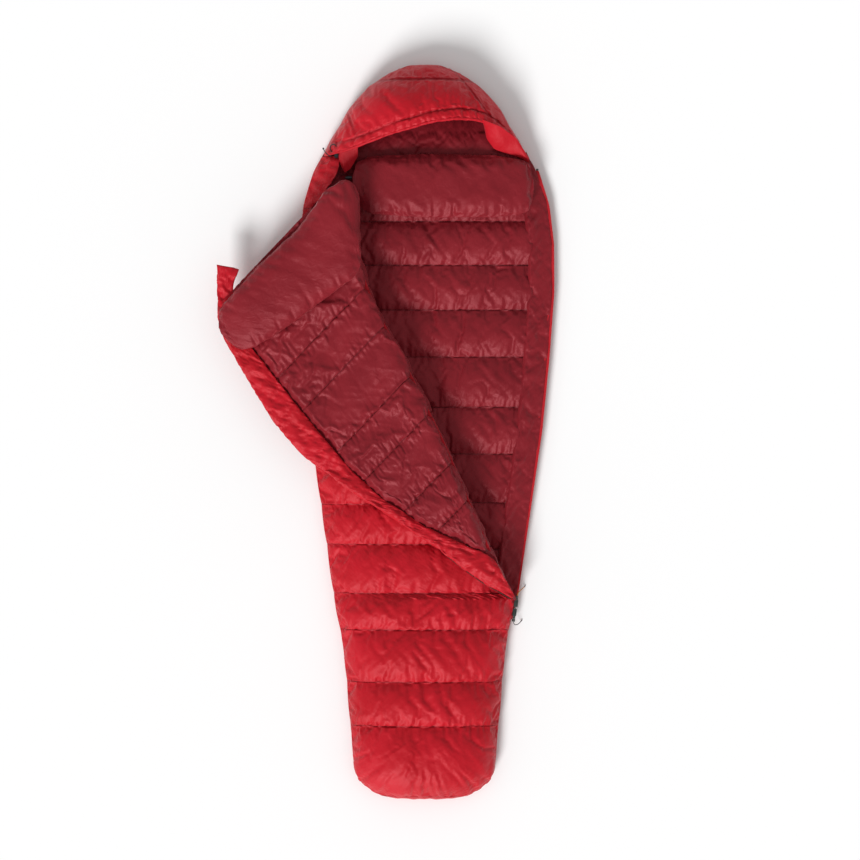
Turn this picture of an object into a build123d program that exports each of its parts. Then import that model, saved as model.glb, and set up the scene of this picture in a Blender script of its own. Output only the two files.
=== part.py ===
"""Mummy sleeping bag lying open on its back.

The bag lies on the floor with its foot towards -Y and its hood towards +Y.
The cover is unzipped along the right side and folded back to the left about
a slanting fold that runs from the bottom of the zip to the left of the neck.
All lengths are in millimetres.
"""
import math
import os

from build123d import *

os.makedirs("parts", exist_ok=True)

# ---- driving dimensions -------------------------------------------------
# Plan outline of the bag lying flat: (y, half width), foot to crown.
OUTLINE = (
    (-1048, 118), (-1038, 142), (-1006, 184), (-971, 198), (-902, 205),
    (-765, 217), (-627, 229), (-480, 257), (-250, 289), (0, 325),
    (200, 345), (400, 360), (540, 359), (650, 346), (750, 315),
    (850, 262), (925, 212), (990, 152), (1030, 98), (1052, 46),
)
FOOT_Y = OUTLINE[0][0]
CROWN_Y = OUTLINE[-1][0]

SKIN = 1.2            # thickness given to each layer of fabric
GAP = 0.3             # clearance between one layer and the next

BACK_SEAM = 28.0      # height of the back's filling at a quilt seam
BACK_CREST = 44.0     # height of the back's filling between seams
BACK_EDGE = 27.0      # height of the back's filling along its side
BACK_SHOULDER = 60.0  # width over which it slopes down to the side
BACK_PITCH = 135.0    # seam to seam on the back
BACK_TOP_SEAM = 604.0
LEG_SEAM = -762.0     # the one seam under the lower legs

COVER_SEAMS = (-842, -716, -567, -463, -323, 160)
COVER_TOP = 790.0
COVER_CREST = 41.0    # thickness of the cover's filling between seams
COVER_SEAM = 27.0     # and at a seam
COVER_EDGE_OUT = 53.0  # height of the cover's outer face at the side
COVER_EDGE_IN = 46.0  # height of the cover's inner face at the side
COVER_FLOOR = 56.0    # least height of its inner face on the centre line
EDGE_INSET = 14.0
# Height of the cover's outer face on the centre line: (y, z).
COVER_RISE = ((-1048, 74), (-1006, 104), (-902, 117), (-560, 117), (-400, 102), (790, 102))
# Height of the hood canopy's outer face on the centre line: (y, z).
HOOD_RISE = ((700, 124), (800, 160), (880, 168), (950, 152), (1000, 124), (1052, 66))
HOOD_SEAM_Y = 1000.0
HOOD_CREST = 34.0
HOOD_SEAM = 22.0
HOOD_FLOOR = 52.0
RIM = ((-234, 798), (60, 884), (308, 768))   # front edge of the canopy in plan

# Fold of the cover: the hinge line and the end of the part that stays down.
FOLD_FOOT = (260.0, -483.0, 112.0)
FOLD_HEAD = (-242.0, 701.0, 136.0)
FOLD_SETBACK = 0.07   # how far the lying part ends short of the hinge, per mm
FLAP_SETBACK = 0.058  # how far the folded part starts past it, per mm
FLAP_TILT = 5.4       # degrees the folded cover slopes down to the left
FLAP_CREST = 31.0
FLAP_SEAM = 17.0
# Free edge of the folded cover: (distance along the fold, distance from it).
LINING_EDGE = ((30, 8), (94, 14), (145, 24), (172, 45), (228, 92), (297, 158), (419, 243),
               (528, 291), (742, 356), (954, 413), (1060, 425), (1160, 400))
TUBE_EDGE = ((30, 22), (132, 92), (229, 147), (467, 308), (624, 398), (742, 436),
             (928, 462), (1011, 473), (1071, 467), (1151, 438), (1212, 410))
FLAP_TOP = ((1160, 337), (1168, 294), (1218, 154), (1286, 78))
# Quilt lines of the folded part, as the Y that each has when the bag is shut.
FLAP_SEAMS = (-184, -77, 66, 178, 330, 470)

ZIP_TAPE = 8.0        # tape showing beyond the shell
COIL_RADIUS = 2.0
COIL_Z = BACK_EDGE - 0.4
ZIP_BOTTOM_Y = -540.0
ZIP_TOP_Y = 750.0
ZIP_STRAIGHT_Y = 0.0  # end of the straight run that the sliders travel
SLIDER = (11.0, 20.0, 10.0)
UPPER_SLIDER_Y = -494.0
LOWER_SLIDER_Y = -520.0
BAIL_WIDE = 3.0
BAIL_TALL = 5.0
PIVOT_ABOVE = 1.9     # height of a tab's pivot over its slider's top
TAB = (7.0, 23.2, 1.6)
TAB_BAR = 1.2         # bar of the tab that lies under the bail
PULL_RADIUS = 1.2

HEM_RADIUS = 8.0
CORD_RADIUS = 1.3

# Cord lock: the drawcord crosses it along X, its button is pressed down.
LOCK_SPOT = (-252.0, 788.0)
LOCK_RADIUS = 6.0
LOCK_BORE = 4.3
LOCK_LOW = 66.0
LOCK_TALL = 18.0
LOCK_FLOOR = 2.0
LOCK_CORD_Z = 80.0
BUTTON_RADIUS = 4.0
BUTTON_TALL = 12.0
BUTTON_LOW = 76.0
BUTTON_TRAVEL = 4.0
SPRING_WIRE = 0.4
SPRING_RADIUS = 3.0

# Free cords, each from where it leaves its piece to its end.
DRAWCORD_TAIL = ((-267, 788, 80), (-273, 788.6, 79.4), (-279, 792.5, 75.5), (-284, 799.5, 69.5),
                 (-288, 806, 62.5), (-290.5, 812, 55))
DRAWCORD_LOOP = ((-252, 794.2, 81), (-250.5, 802, 84), (-250, 811, 86), (-254.5, 819, 84),
                 (-262.5, 821.5, 80), (-269.5, 816.5, 76), (-270.5, 808, 74), (-266.5, 800.5, 74.5),
                 (-260.5, 795.2, 76))
UPPER_PULL = ((266.5, -471.8, 33.5), (268.8, -465.5, 32), (272.5, -460, 27), (277.5, -456.5, 19.5),
              (282, -453.5, 11.5), (286, -450, 4.5), (290.5, -445.5, 1.6))
LOWER_PULL = ((255.9, -542.2, 33.5), (255.6, -549, 32), (258.6, -555, 26.5), (264.5, -557, 19),
              (271, -554.5, 11), (276, -550, 4.6), (281, -544.5, 1.6))


def interpolate(table, y):
    """Straight-line value of a (position, value) table at y."""
    for (y0, v0), (y1, v1) in zip(table, table[1:]):
        if y <= y1:
            return v0 + (v1 - v0) * (y - y0) / (y1 - y0)
    return table[-1][1]


def half_width(y):
    return interpolate(OUTLINE, y)


def puff(y, y0, y1, seam, crest):
    """Thickness of a chamber that is pulled in at its two seams."""
    t = min(1.0, max(0.0, (y - y0) / (y1 - y0)))
    return seam + (crest - seam) * math.sqrt(max(0.0, math.sin(math.pi * t)))


def stations(y0, y1, shares=(0, 0.15, 0.5, 0.85, 1)):
    """Places of the cross-sections of one chamber."""
    picked = [y0, y1] + [y for y, _ in OUTLINE if y0 < y < y1]
    for share in shares[1:-1]:
        y = y0 + (y1 - y0) * share
        if all(abs(y - other) > 5 for other in picked):
            picked.append(y)
    return sorted(picked)


def across(y):
    """Workplane of the cross-section at y: local x is X, local y is Z."""
    return Plane(origin=(0, y, 0), x_dir=(1, 0, 0), z_dir=(0, -1, 0))


def save(node, shape):
    shape.label = node
    export_step(shape, f"parts/{node}.step")
    print(f"{node:24s} {shape.volume / 1e6:8.4f} L")


# ---- back: filling, lining and shell ------------------------------------
def back_section(y, low, thick):
    w = half_width(y)
    slope = min(BACK_SHOULDER, 0.5 * w)
    points = [(-w, low), (w, low), (w, BACK_EDGE), (w - slope, thick),
              (slope - w, thick), (-w, BACK_EDGE)]
    return across(y) * make_face(Polyline(*points, close=True))


def back_skin_section(y, thick, lift):
    w = half_width(y)
    slope = min(BACK_SHOULDER, 0.5 * w)
    low = [(-w, BACK_EDGE + lift), (slope - w, thick + lift),
           (w - slope, thick + lift), (w, BACK_EDGE + lift)]
    high = [(x, z + SKIN) for x, z in reversed(low)]
    return across(y) * make_face(Polyline(*low, *high, close=True))


def back_seams():
    seams = [BACK_TOP_SEAM + BACK_PITCH * (k - 8) for k in range(10)]
    return [FOOT_Y, LEG_SEAM] + seams + [CROWN_Y]


def back_places():
    """Every cross-section of the back, foot to crown."""
    seams = back_seams()
    places = [FOOT_Y]
    for y0, y1 in zip(seams, seams[1:]):
        places += stations(y0, y1)[1:]
    return places


def back_thickness(y):
    seams = back_seams()
    for y0, y1 in zip(seams, seams[1:]):
        if y0 <= y <= y1:
            return puff(y, y0, y1, BACK_SEAM, BACK_CREST)
    return BACK_SEAM


def make_back():
    seams = back_seams()
    for number, (y0, y1) in enumerate(zip(seams, seams[1:]), start=1):
        rows = stations(y0, y1)
        sections = [back_section(y, SKIN + GAP, back_thickness(y)) for y in rows]
        save(f"back_fill_{number:02d}", loft(sections, ruled=True))
    lining = [back_skin_section(y, back_thickness(y), GAP) for y in back_places()]
    save("back_liner", loft(lining, ruled=True))
    trays = []
    for y, _ in OUTLINE:
        w = half_width(y) + GAP
        top = BACK_EDGE - 1
        points = [(-w - SKIN, 0), (w + SKIN, 0), (w + SKIN, top), (w, top), (w, SKIN),
                  (-w, SKIN), (-w, top), (-w - SKIN, top)]
        trays.append(across(y) * make_face(Polyline(*points, close=True)))
    save("back_shell", loft(trays, ruled=True))


# ---- cover: the part that stays down ------------------------------------
def arch_band(y, rise, thick_out, thick_in, wall=None):
    """Cross-section between two arcs that span the bag.

    thick_out and thick_in are heights above and below the arch's outer face.
    With wall, the band also runs down both sides to that height.
    """
    w = half_width(y)
    out_w = w + max(0.0, thick_out)
    outer = ThreePointArc((-out_w, COVER_EDGE_OUT), (0, rise + thick_out), (out_w, COVER_EDGE_OUT))
    in_w = w + thick_in
    inner = ThreePointArc((in_w, COVER_EDGE_OUT), (0, rise + thick_in), (-in_w, COVER_EDGE_OUT))
    right = [(out_w, COVER_EDGE_OUT), (out_w, wall), (in_w, wall), (in_w, COVER_EDGE_OUT)]
    left = [(-x, z) for x, z in reversed(right)]
    return across(y) * make_face(outer + Polyline(*right) + inner + Polyline(*left))


def fill_section(y, crown, floor):
    """Filling between the outer arch and the flatter inner arch."""
    w = half_width(y)
    inset = min(EDGE_INSET, 0.3 * w)
    outer = ThreePointArc((-w, COVER_EDGE_OUT), (0, crown), (w, COVER_EDGE_OUT))
    inner = ThreePointArc((w - inset, COVER_EDGE_IN), (0, floor), (inset - w, COVER_EDGE_IN))
    right = Line((w, COVER_EDGE_OUT), (w - inset, COVER_EDGE_IN))
    left = Line((inset - w, COVER_EDGE_IN), (-w, COVER_EDGE_OUT))
    return across(y) * make_face(outer + right + inner + left)


def lining_section(y, floor):
    """Fabric under the filling."""
    w = half_width(y) - min(EDGE_INSET, 0.3 * half_width(y))
    z = COVER_EDGE_IN - GAP
    upper = ThreePointArc((-w, z), (0, floor - GAP), (w, z))
    lower = ThreePointArc((w, z - SKIN), (0, floor - GAP - SKIN), (-w, z - SKIN))
    right = Line((w, z), (w, z - SKIN))
    left = Line((-w, z - SKIN), (-w, z))
    return across(y) * make_face(upper + right + lower + left)


def cover_floor(y):
    return max(COVER_FLOOR, interpolate(COVER_RISE, y) - COVER_CREST)


def cover_crown(y):
    seams = (FOOT_Y,) + COVER_SEAMS + (COVER_TOP,)
    for y0, y1 in zip(seams, seams[1:]):
        if y0 <= y <= y1:
            drop = COVER_CREST - puff(y, y0, y1, COVER_SEAM, COVER_CREST)
            return max(cover_floor(y) + 10, interpolate(COVER_RISE, y) - drop)
    return interpolate(COVER_RISE, y)


def fold_point(along, away):
    """Point in plan at a distance along the fold and away to its left."""
    dx = FOLD_HEAD[0] - FOLD_FOOT[0]
    dy = FOLD_HEAD[1] - FOLD_FOOT[1]
    length = math.hypot(dx, dy)
    ux, uy = dx / length, dy / length
    return (FOLD_FOOT[0] + ux * along - uy * away, FOLD_FOOT[1] + uy * along + ux * away)


def lying_region():
    """Everything left of the line where the cover turns up into the fold."""
    reach = 1240
    end = fold_point(reach, FOLD_SETBACK * reach)
    points = [(520, -1200), fold_point(0, 0), end, (end[0] + 14, end[1] + 50),
              (-256, 900), (-700, 900), (-700, -1200)]
    return extrude(make_face(Polyline(*points, close=True)), 300)


def make_cover():
    keep = lying_region()
    seams = (FOOT_Y,) + COVER_SEAMS + (COVER_TOP,)
    places = []
    for number, (y0, y1) in enumerate(zip(seams, seams[1:]), start=1):
        rows = stations(y0, y1)
        places += rows[:-1]
        chamber = loft([fill_section(y, cover_crown(y), cover_floor(y)) for y in rows], ruled=True)
        if y1 > FOLD_FOOT[1]:
            chamber = chamber & keep
        save(f"cover_fill_{number:02d}", chamber)
    places.append(seams[-1])
    lining = loft([lining_section(y, cover_floor(y)) for y in places], ruled=True)
    save("cover_liner", lining & keep)
    shell = [arch_band(y, cover_crown(y), GAP + SKIN, GAP, BACK_EDGE + 1) for y in places]
    save("cover_shell", loft(shell, ruled=True) & keep)


# ---- cover: the part folded back ----------------------------------------
def flap_angles():
    dx, dy, dz = (b - a for a, b in zip(FOLD_FOOT, FOLD_HEAD))
    along = Vector(dx, dy, dz).normalized()
    level_left = Vector(-dy, dx, 0).normalized()
    tilt = math.radians(FLAP_TILT)
    left = level_left * math.cos(tilt) - Vector(0, 0, 1) * math.sin(tilt)
    left = (left - along * left.dot(along)).normalized()
    return along, left


def flap_frame():
    """Local x runs up the fold, y away to the left, z up from the outer face."""
    along, left = flap_angles()
    return Plane(origin=FOLD_FOOT, x_dir=along, z_dir=along.cross(left))


def seam_prism(profile, reach=900):
    """Solid with a profile across the quilt lines, run along them.

    A quilt line that runs straight across the shut cover makes an angle with
    the fold, so it slants in the flap's own frame.
    """
    dx = FOLD_HEAD[0] - FOLD_FOOT[0]
    dy = FOLD_HEAD[1] - FOLD_FOOT[1]
    length = math.hypot(dx, dy)
    plane = Plane(origin=(0, 0, 0), x_dir=(dy / length, -dx / length, 0),
                  z_dir=(-dx / length, -dy / length, 0))
    return extrude(plane * make_face(profile), reach, both=True)


def quilt_arc(q0, q1, base):
    """Top of one chamber of the flap, from seam to seam."""
    crest = ((q0 + q1) / 2, base + FLAP_CREST)
    return ThreePointArc((q0, base + FLAP_SEAM), crest, (q1, base + FLAP_SEAM))


def flap_outline(edge, top):
    inner = [(30, 30 * FLAP_SETBACK), (1286, 1286 * FLAP_SETBACK)]
    points = [inner[0], *edge, *top, inner[1]]
    return make_face(Polyline(*points, close=True))


def make_flap():
    place = flap_frame().location
    seams = [y - FOLD_FOOT[1] for y in FLAP_SEAMS]
    spare = 330.0
    seams = [seams[0] - spare] + seams + [seams[-1] + spare]
    column = extrude(flap_outline(LINING_EDGE, FLAP_TOP[1:]), 80)
    low = SKIN + GAP
    strips = []
    for number, (q0, q1) in enumerate(zip(seams, seams[1:]), start=1):
        base = Polyline((q1, low + FLAP_SEAM), (q1, low), (q0, low), (q0, low + FLAP_SEAM))
        chamber = seam_prism(quilt_arc(q0, q1, low) + base) & column
        save(f"flap_fill_{number:02d}", place * chamber)
        under = quilt_arc(q0, q1, low + GAP)
        over = quilt_arc(q0, q1, low + GAP + SKIN)
        sides = Line(under @ 0, over @ 0) + Line(under @ 1, over @ 1)
        strips.append(seam_prism(under + over + sides) & column)
    lining = strips[0]
    for strip in strips[1:]:
        lining = lining + strip
    save("flap_liner", place * lining)
    sheet = flap_outline(TUBE_EDGE, FLAP_TOP)
    save("flap_shell", place * extrude(sheet, SKIN))


def tube_rows():
    """Sections of the draft tube: (along, inner, outer, height)."""
    rows = []
    places = {along for along, _ in TUBE_EDGE + LINING_EDGE}
    for along in sorted(places):
        inner = interpolate(LINING_EDGE, along)
        outer = interpolate(TUBE_EDGE, along)
        height = min(30.0, 8 + 0.5 * (outer - inner))
        rows.append((along, inner + 1, outer, height))
    return rows


def make_draft_tube():
    sections = []
    for along, inner, outer, height in tube_rows():
        low = SKIN + GAP
        width = outer - inner
        points = [(inner, low), (outer - 0.15 * width, low), (outer, low + 0.4 * height),
                  (outer - 0.2 * width, low + 0.9 * height), (inner + 0.4 * width, low + height),
                  (inner, low + 0.7 * height)]
        plane = Plane(origin=(along, 0, 0), x_dir=(0, 1, 0), z_dir=(1, 0, 0))
        sections.append(plane * make_face(Polyline(*points, close=True)))
    save("draft_tube", flap_frame().location * loft(sections, ruled=True))


def make_front_collar():
    """Padded collar across the top of the folded cover."""
    low = SKIN + FLAP_CREST + SKIN + 3 * GAP + 0.5
    rows = ((62, 1046, 1266, 26), (150, 1010, 1208, 34), (300, 970, 1160, 34),
            (400, 962, 1122, 30), (455, 995, 1085, 16))
    sections = []
    for away, start, end, height in rows:
        span = end - start
        points = [(start, low + 0.3 * height), (start + 0.12 * span, low), (end - 0.12 * span, low),
                  (end, low + 0.3 * height), (end - 0.2 * span, low + 0.9 * height),
                  (start + 0.5 * span, low + height), (start + 0.2 * span, low + 0.9 * height)]
        plane = Plane(origin=(0, away, 0), x_dir=(1, 0, 0), z_dir=(0, -1, 0))
        sections.append(plane * make_face(Polyline(*points, close=True)))
    save("front_collar", flap_frame().location * loft(sections, ruled=True))


def make_back_collar():
    """Padded collar across the back's neck, with a rounded right end."""
    low = BACK_CREST + SKIN + 2 * GAP
    rows = ((-200, 640, 770, 22), (-150, 622, 792, 36), (0, 610, 800, 38), (200, 612, 792, 38),
            (285, 628, 772, 30), (304, 660, 745, 14))
    sections = []
    for x, start, end, height in rows:
        span = end - start
        points = [(start, low + 0.3 * height), (start + 0.1 * span, low), (end - 0.1 * span, low),
                  (end, low + 0.3 * height), (end - 0.2 * span, low + 0.9 * height),
                  (start + 0.5 * span, low + height), (start + 0.2 * span, low + 0.9 * height)]
        plane = Plane(origin=(x, 0, 0), x_dir=(0, 1, 0), z_dir=(1, 0, 0))
        sections.append(plane * make_face(Polyline(*points, close=True)))
    save("back_collar", loft(sections, ruled=True))


# ---- tubes along routes --------------------------------------------------
def bend_radii(points):
    """Largest arc that the two runs at each corner of a route leave room for."""
    spots = [Vector(*p) for p in points]
    radii = []
    for a, b, c in zip(spots, spots[1:], spots[2:]):
        run = min((b - a).length, (c - b).length)
        turn = math.radians((b - a).get_angle(c - b))
        radii.append(0.45 * run / math.tan(turn / 2))
    return radii


def tube(name, points, radius):
    """Round tube along straight runs joined by tangent arcs."""
    radii = bend_radii(points)
    path = FilletPolyline(*points, radius=radii)
    start = Plane(origin=path @ 0, z_dir=path % 0)
    solid = sweep(start * Circle(radius), path=path)
    shortest = min(radii)
    print(f"{name}: length {path.length:.1f}, smallest arc {shortest:.1f}, "
          f"volume ratio {solid.volume / (math.pi * radius ** 2 * path.length):.3f}")
    return solid


# ---- zip ------------------------------------------------------------------
def coil_x(y):
    return half_width(y) + SKIN + GAP + ZIP_TAPE + 0.6 * COIL_RADIUS


def zip_rows():
    curved = [y for y, _ in OUTLINE if ZIP_STRAIGHT_Y < y < ZIP_TOP_Y]
    return [ZIP_BOTTOM_Y, ZIP_STRAIGHT_Y] + curved + [ZIP_TOP_Y]


def zip_slope():
    """Sideways run of the straight part of the zip for each mm towards the head."""
    return (coil_x(ZIP_STRAIGHT_Y) - coil_x(ZIP_BOTTOM_Y)) / (ZIP_STRAIGHT_Y - ZIP_BOTTOM_Y)


def make_back_zip():
    rows = zip_rows()
    path = [(coil_x(y), y, COIL_Z) for y in rows]
    save("zip_coil_back", tube("zip_coil_back", path, COIL_RADIUS))
    edge = [ZIP_BOTTOM_Y] + [y for y, _ in OUTLINE if ZIP_BOTTOM_Y < y < ZIP_TOP_Y] + [ZIP_TOP_Y]
    near = [(half_width(y) + SKIN + 2 * GAP, y) for y in edge]
    far = [(coil_x(y) - COIL_RADIUS - 1.7, y) for y in reversed(rows)]
    tape = extrude(make_face(Polyline(*near, *far, close=True)), 1.0)
    save("zip_tape_back", Pos(0, 0, COIL_Z - 0.5) * tape)


def make_flap_zip():
    """Tape and coil of the other half, under the folded cover's free edge."""
    rows = [(along, away) for along, away in TUBE_EDGE[:-1]]
    place = flap_frame().location
    path = [(along, away + 4.0, SKIN + 4.0) for along, away in rows]
    save("zip_coil_flap", place * tube("zip_coil_flap", path, COIL_RADIUS))
    near = [(along, away - 9.0) for along, away in rows]
    far = [(along, away + 1.8) for along, away in reversed(rows)]
    tape = extrude(make_face(Polyline(*near, *far, close=True)), -1.0)
    save("zip_tape_flap", place * Pos(0, 0, -GAP) * tape)


def on_zip(y, z=COIL_Z):
    """Frame on the straight coil: local y up the zip, local x outwards."""
    x = coil_x(ZIP_BOTTOM_Y) + zip_slope() * (y - ZIP_BOTTOM_Y)
    return Pos(x, y, z) * Rot(0, 0, -math.degrees(math.atan(zip_slope())))


def slider_body():
    """Slider round the coil, open on the bag's side for the tape, with its bail."""
    wide, long, high = SLIDER
    body = Box(wide, long, high)
    body -= Box(2 * COIL_RADIUS + 1.6, long + 2, 2 * COIL_RADIUS + 1.2)
    body -= Pos(-wide / 2, 0, 0) * Box(wide, long + 2, 2.4)
    body += Pos(0, 0, high / 2 + BAIL_TALL - 0.8) * Box(BAIL_WIDE, 8.0, 1.6)
    for side in (-1, 1):
        body += Pos(0, 3.0 * side, high / 2 + BAIL_TALL / 2 - 0.5) * Box(BAIL_WIDE, 2.0, BAIL_TALL)
    return body


def pull_tab():
    """Flat tab with a slot that a foot of the bail passes through.

    The pivot is at the local origin and local y points along the tab.
    """
    wide, long, thick = TAB
    plate = Pos(0, long / 2 - TAB_BAR, 0) * Box(wide, long, thick)
    slot = Pos(0, 3.3, 0) * Box(BAIL_WIDE + 1.2, 4.6, 2 * thick)
    hole = Pos(0, long - 5.0, 0) * Cylinder(1.5, 2 * thick)
    return plate - slot - hole


# ---- hood -----------------------------------------------------------------
def hood_floor(y):
    return max(HOOD_FLOOR, interpolate(HOOD_RISE, y) - HOOD_CREST)


def hood_crown(y):
    if y <= HOOD_SEAM_Y:
        drop = HOOD_CREST - puff(y, HOOD_RISE[0][0], HOOD_SEAM_Y, HOOD_SEAM, HOOD_CREST)
    else:
        drop = HOOD_CREST - puff(y, HOOD_SEAM_Y, CROWN_Y + 40, HOOD_SEAM, HOOD_CREST)
    return max(hood_floor(y) + 6, interpolate(HOOD_RISE, y) - drop)


def rim_region():
    """Everything behind the front edge of the canopy."""
    front = ThreePointArc(*RIM)
    back = Polyline(RIM[2], (420, 768), (420, 1200), (-420, 1200), (-420, 795), RIM[0])
    return extrude(make_face(front + back), 300)


def rim_spots():
    """Middle of the canopy's front edge at several places across it."""
    spots = []
    arc = ThreePointArc(*RIM)
    for share in (0.0, 0.12, 0.28, 0.46, 0.64, 0.82, 0.95):
        spot = arc @ share
        w = half_width(spot.Y)
        rise = hood_crown(spot.Y)
        z = COVER_EDGE_OUT + (rise - COVER_EDGE_OUT) * (1 - (spot.X / w) ** 2)
        spots.append((spot.X, spot.Y - HEM_RADIUS - 2.0, z - 11.0))
    return spots


def make_hood():
    keep = rim_region()
    rows = stations(HOOD_RISE[0][0], HOOD_SEAM_Y)
    tip = stations(HOOD_SEAM_Y, CROWN_Y)
    for number, places in enumerate((rows, tip), start=1):
        chamber = loft([fill_section(y, hood_crown(y), hood_floor(y)) for y in places], ruled=True)
        save(f"hood_fill_{number:02d}", chamber & keep if number == 1 else chamber)
    places = rows[:-1] + tip
    lining = loft([lining_section(y, hood_floor(y)) for y in places], ruled=True)
    save("hood_liner", lining & keep)
    shell = [arch_band(y, hood_crown(y), GAP + SKIN, GAP, BACK_EDGE + 4) for y in places]
    save("hood_shell", loft(shell, ruled=True) & keep)
    route = rim_spots()
    x, y = LOCK_SPOT
    cord_route = [(x - 14.5, y, LOCK_CORD_Z), (x + 18, y, LOCK_CORD_Z)] + route[1:]
    hem = tube("hood_hem", [(x + 22, y, LOCK_CORD_Z + 4)] + route[1:], HEM_RADIUS)
    tunnel = tube("hem tunnel", cord_route, CORD_RADIUS + 0.5)
    save("hood_hem", hem - tunnel)
    save("hood_drawcord", tube("hood_drawcord", cord_route, CORD_RADIUS))


# ---- trims -----------------------------------------------------------------
def make_side_panel():
    """Plain facing of lining fabric along the open side of the back."""
    rows = [y for y in back_places() if UPPER_SLIDER_Y + 30 < y < BACK_TOP_SEAM + 1]
    sections = []
    for y in rows:
        w = half_width(y)
        slope = (back_thickness(y) - BACK_EDGE) / BACK_SHOULDER
        low = BACK_EDGE + SKIN + 2 * GAP
        inner = w - BACK_SHOULDER
        points = [(inner, low + slope * BACK_SHOULDER), (w, low), (w, low + SKIN),
                  (inner, low + slope * BACK_SHOULDER + SKIN)]
        sections.append(across(y) * make_face(Polyline(*points, close=True)))
    save("zip_side_panel", loft(sections, ruled=True))


def make_foot_panel():
    """End panel of the foot box."""
    w = half_width(FOOT_Y) + GAP + SKIN
    crown = cover_crown(FOOT_Y) + GAP + SKIN
    arch = ThreePointArc((-w, COVER_EDGE_OUT), (0, crown), (w, COVER_EDGE_OUT))
    base = Polyline((w, COVER_EDGE_OUT), (w, 0), (-w, 0), (-w, COVER_EDGE_OUT))
    face = across(FOOT_Y - GAP) * make_face(arch + base)
    save("foot_panel", extrude(face, SKIN))


def make_zip_stops():
    """Bottom box and top stop, clamped on the coil's two ends."""
    bottom = on_zip(ZIP_BOTTOM_Y - 3.5) * Box(9, 6, 7)
    top_y = ZIP_TOP_Y + 3.0
    top = Pos(coil_x(top_y), top_y, COIL_Z) * Box(7, 5, 6)
    save("zip_end_stops", Compound([bottom, top]))


def make_sliders():
    sliders = (("upper", UPPER_SLIDER_Y, 0, UPPER_PULL), ("lower", LOWER_SLIDER_Y, 180, LOWER_PULL))
    for name, y, turn, pull in sliders:
        save(f"zip_slider_{name}", on_zip(y) * slider_body())
        high = SLIDER[2] / 2 + PIVOT_ABOVE
        save(f"pull_tab_{name}", on_zip(y) * Pos(0, 0, high) * Rot(0, 0, turn) * pull_tab())
        save(f"pull_cord_{name}", tube(f"pull_cord_{name}", pull, PULL_RADIUS))


def make_cord_lock():
    x, y = LOCK_SPOT
    middle = LOCK_LOW + LOCK_TALL / 2
    cord_bore = Pos(x, y, LOCK_CORD_Z) * Rot(0, 90, 0) * Cylinder(CORD_RADIUS + 0.5, 4 * LOCK_RADIUS)
    barrel = Pos(x, y, middle) * Cylinder(LOCK_RADIUS, LOCK_TALL)
    barrel -= Pos(x, y, middle + LOCK_FLOOR) * Cylinder(LOCK_BORE, LOCK_TALL)
    save("cord_lock_barrel", barrel - cord_bore)
    button = Pos(x, y, BUTTON_LOW + BUTTON_TALL / 2) * Cylinder(BUTTON_RADIUS, BUTTON_TALL)
    slot_tall = BUTTON_TRAVEL + 2 * CORD_RADIUS + 1.0
    slot_low = LOCK_CORD_Z - CORD_RADIUS - 0.5
    button -= Pos(x, y, slot_low + slot_tall / 2) * Box(20, 2 * CORD_RADIUS + 1.0, slot_tall)
    save("cord_lock_button", button)
    spring_low = LOCK_LOW + LOCK_FLOOR + SPRING_WIRE + 0.1
    spring_tall = BUTTON_LOW - spring_low - SPRING_WIRE - 0.1
    coil = Helix(pitch=spring_tall / 4, height=spring_tall, radius=SPRING_RADIUS)
    wire = sweep(Plane(origin=coil @ 0, z_dir=coil % 0) * Circle(SPRING_WIRE), path=coil, is_frenet=True)
    save("cord_lock_spring", Pos(x, y, spring_low) * wire)


def make_drawcord_ends():
    tail = tube("drawcord tail", DRAWCORD_TAIL, CORD_RADIUS)
    loop = tube("drawcord loop", DRAWCORD_LOOP, CORD_RADIUS)
    save("hood_cord_tail", tail)
    save("hood_cord_loop", loop)


def make_collar_lock():
    """Toggle of the collar's own drawcord, at the left end of the back collar."""
    barrel = Pos(-216, 728, BACK_CREST + 9) * Rot(0, 90, 25) * Cylinder(5.5, 15)
    button = Pos(-216, 728, BACK_CREST + 9) * Rot(0, 90, 25) * Pos(0, 0, -9.5) * Cylinder(3.6, 3.6)
    save("collar_cord_lock", barrel + button)


make_back()
make_cover()
make_flap()
make_draft_tube()
make_front_collar()
make_back_collar()
make_back_zip()
make_flap_zip()
make_hood()
make_side_panel()
make_foot_panel()
make_zip_stops()
make_sliders()
make_cord_lock()
make_drawcord_ends()
make_collar_lock()
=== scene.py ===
"""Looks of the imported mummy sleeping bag: quilted fabric, zip, cords, light and camera.

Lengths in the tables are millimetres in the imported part's frame; meshes are
made in metres.
"""

import math

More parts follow.
